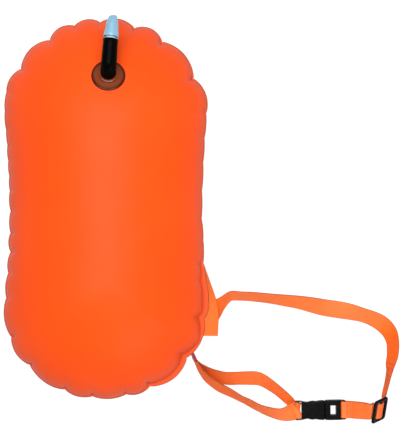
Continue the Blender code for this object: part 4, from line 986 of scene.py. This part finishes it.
def build_slider():
    """The tri-glide: a moulded frame, heavier on the buckle's side, and its middle bar."""
    half_x, half_y = SLIDER_LENGTH / 2, SLIDER_WIDTH / 2
    outer = rounded_loop(-half_x, half_x, half_y, SLIDER_CORNER_RADIUS)
    inner = rounded_loop(-half_x + SLIDER_HEAVY_BAR, half_x - SLIDER_BAR_WIDTH,
                         half_y - SLIDER_END_WIDTH, SLIDER_SLOT_RADIUS)
    profile = soft_profile(0.5, SLIDER_THICKNESS / 2 * 1.1)
    vertices = []
    for out, within in zip(outer, inner):
        middle, reach = (out + within) / 2, out - within
        vertices += [SLIDER_MATRIX @ (middle + reach * x + Vector((0, 0, z))) for x, z in profile]
    reach = Vector((0, half_y - SLIDER_END_WIDTH / 2, 0))
    bar, bar_faces = bar_between(-reach, reach, SLIDER_MIDDLE_BAR_WIDTH / 2,
                                 SLIDER_THICKNESS / 2 * 0.9, SLIDER_MATRIX)
    faces = grid_faces(len(outer), len(profile), ring=True)
    faces += [tuple(index + len(vertices) for index in face) for face in bar_faces]
    frame_piece = new_object("slider_frame", vertices + bar, faces, BUCKLE)
    tidy_normals(frame_piece)
    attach(frame_piece, "slider_unit")
    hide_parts("slider")


def build_plug_lip():
    """The rounded edge of the plug's body along its webbing slot."""
    place = Vector((PLUG_END - PLUG_LIP_SETBACK, 0, 0))
    reach = Vector((0, WEBBING_WIDTH / 2 + SEAT_GAP, 0))
    vertices, faces = bar_between(place - reach, place + reach, PLUG_LIP_WIDTH / 2,
                                  BAR_THICKNESS, BUCKLE_MATRIX)
    lip = new_object("plug_lip", vertices, faces, BUCKLE)
    tidy_normals(lip)
    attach(lip, "plug_unit")


# Straps and their anchors

def build_anchor_strip():
    """Webbing sewn under the lip: its inner edge follows the seam, and it hangs down outwards."""
    stations = []
    for x, y, hang in ANCHOR_EDGE:
        across = width_vector(0, -hang)
        drop = WEBBING_THICKNESS / 2 / math.cos(math.radians(min(hang, 60)))
        edge = Vector((x * MM, y * MM, UNDER_LIP - drop))
        stations.append((edge + across * WEBBING_WIDTH / 2, across))
    # The strip takes a fixed share of painted sheen
    strap("anchor_webbing", stations, "float", ["anchor_strip"], painted_sheen=0.35)


def build_tab():
    """The folded dark red tab that holds the short strap's two ends under the lip."""
    across = width_vector(41, 80)
    stations = [(Vector((x, y, TAB_HEIGHT)), across) for x, y in TAB_ROUTE]
    strap("folded_tab", stations, "float", ["lower_tab"], TAB_PVC, 4, TAB_WIDTH, TAB_THICKNESS)


def slider_stations():
    """The webbing's way through the slider: in under one end bar, over the middle bar and out
    under the other."""
    clear = SLIDER_THICKNESS / 2 + SEAT_GAP + WEBBING_THICKNESS / 2
    inner, outer = SLIDER_MIDDLE_BAR_WIDTH / 2, SLIDER_LENGTH / 2 - SLIDER_BAR_WIDTH
    middle = (inner + outer) / 2
    half = [(outer + SLIDER_BAR_WIDTH / 2, -clear), (outer, -clear),
            (middle + clear / 4, -clear / 2), (middle - clear / 4, clear / 2), (inner, clear)]
    places = [(-x, z) for x, z in half] + half[::-1]
    return to_world([(Vector((x, 0, z)), FLAT_WIDTH) for x, z in places], SLIDER_MATRIX)


def build_belt():
    """The waist belt, in two pieces of one smooth run."""
    *place, share = BELT_END
    end = [(Vector(place) * MM, FLAT_WIDTH, share)]
    stations = route(BELT_ROUTE) + to_world(end, SLIDER_MATRIX)
    belt = strap("belt_webbing", stations, None, ["belt_strap"], span=(0, BELT_SPLIT))
    belt_tail = strap("belt_tail", stations, None, None, span=(BELT_SPLIT, len(stations) - 1))
    return belt, belt_tail


def build_short_strap():
    """The loop from the tab round the socket's bar and back, gathered below the bar."""
    bar = BAR_SETBACK + BAR_WIDTH / 2
    below, above = [(Vector((bar - BAR_WIDTH, 0, side * WRAP_RADIUS)), FLAT_WIDTH)
                    for side in (-1, 1)]
    wrapped = [below] + hairpin(bar, -1)
    gathered = []
    for index, (place, across) in enumerate(wrapped):
        drawn = 1 - index / (len(wrapped) - 1)
        gathered.append((place + Vector((0, GATHER_OFFSET * drawn, 0)), across,
                         1 - (1 - GATHER_SHARE) * drawn))
    strap("short_webbing", route(SHORT_UPPER) + to_world(gathered + [above], BUCKLE_MATRIX)
          + route(SHORT_LOWER), "float", ["short_strap"])


def doubled_stations():
    """The doubled webbing: from the slider round the plug's bar and back, as two layers."""
    in_buckle = to_world(slider_stations(), BUCKLE_MATRIX.inverted())
    first_centre, first_width = in_buckle[0]
    run_along = (in_buckle[1][0] - first_centre).normalized()
    run_normal = run_along.cross(first_width).normalized()
    layer = WEBBING_THICKNESS + 3 * SEAT_GAP
    bar = PLUG_END - BAR_SETBACK - BAR_WIDTH / 2
    far_end = first_centre - run_along * 2 * MM - run_normal * layer

    def layer_points(height, offset):
        near = Vector((bar + 2 * BAR_WIDTH, 0, height))
        run = far_end + run_normal * offset - near
        points = [(Vector((bar + BAR_WIDTH, 0, math.copysign(WRAP_RADIUS, height))), FLAT_WIDTH)]
        points += [(near + run * share, FLAT_WIDTH.lerp(first_width, share * share))
                   for share in (0.0, 0.33, 0.66, 1.0)]
        return points + [(near + run + run_along * 5 * MM, first_width)]

    return to_world(layer_points(-layer / 2, -layer)[::-1] + hairpin(bar, 1)
                    + layer_points(layer / 2, 0), BUCKLE_MATRIX)


def build_straps():
    """Every strap that leads to the buckle or the slider, with the loose ones baked in place."""
    belt, belt_tail = build_belt()
    build_short_strap()
    strap("slider_loop", slider_stations(), "slider_unit", ["slider_webbing"])
    stations = doubled_stations()
    plug_strap = strap("doubled_webbing", stations, None, ["plug_webbing"])
    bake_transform(belt)
    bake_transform(belt_tail)
    bar_tack = stitches("bar_tack", stations, BAR_TACK_RINGS)
    for piece in (plug_strap, bar_tack):
        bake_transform(piece)


# Stage and camera

def area_light(name, place, aim, size, power):
    data = bpy.data.lights.new(name, "AREA")
    data.shape = "RECTANGLE"
    data.size, data.size_y = size
    data.energy = power
    light = add_object(name, data)
    light.location = place
    direction = Vector(aim) - Vector(place)
    light.rotation_euler = direction.to_track_quat("-Z", "Y").to_euler()


def build_floor():
    """A plain white floor that glows a little, so that it stays white under the object."""
    material = new_material("studio_white", (0.14, 0.14, 0.14), 0.9,
                            Emission_Color=(1, 1, 1, 1), Emission_Strength=0.90)[0]
    corners = [(x * FLOOR_SIZE, y * FLOOR_SIZE, 0) for x, y in ((-1, -1), (1, -1), (1, 1), (-1, 1))]
    floor = new_object("studio_floor", corners, [(0, 1, 2, 3)], material)
    floor.location.z = -FLOOR_DROP


def build_camera():
    data = bpy.data.cameras.new("camera")
    data.sensor_width = SENSOR_WIDTH
    data.sensor_fit = "HORIZONTAL"
    data.lens = SENSOR_WIDTH * FOCAL_SHARE
    camera = add_object("camera", data)
    camera.location = CAMERA_PLACE
    bpy.context.scene.camera = camera
    bpy.context.scene.view_settings.view_transform = "Standard"


def build_sky():
    """A soft sky: white at the horizon, grey higher up and nearly black overhead."""
    world = bpy.data.worlds.new("studio")
    bpy.context.scene.world = world
    world.use_nodes = True
    tree = world.node_tree
    direction = tree.nodes.new("ShaderNodeTexCoord")
    split_axes = tree.nodes.new("ShaderNodeSeparateXYZ")
    tree.links.new(direction.outputs["Generated"], split_axes.inputs["Vector"])
    sky = ramp_node(tree, split_axes.outputs["Z"],
                    [(place, (grey, grey, grey)) for place, grey in SKY_GREYS])
    tree.links.new(sky, tree.nodes["Background"].inputs["Color"])
    tree.nodes["Background"].inputs["Strength"].default_value = 1.0


build_floor()
build_camera()
build_sky()
for light in LIGHTS:
    area_light(*light)

# The pieces

build_slider()
build_plug_lip()
skin = build_float()
build_flange(skin)
build_tube()
build_mouthpiece()
build_spring()
build_anchor_strip()
build_tab()
build_straps()

for name, material in (("buckle_socket", BUCKLE), ("buckle_plug", BUCKLE),
                       ("left_prong", BUCKLE), ("right_prong", BUCKLE),
                       ("valve_stem", GREY), ("valve_seal", SEAL)):
    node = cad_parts[name]
    for slot in node.material_slots:
        slot.material = material
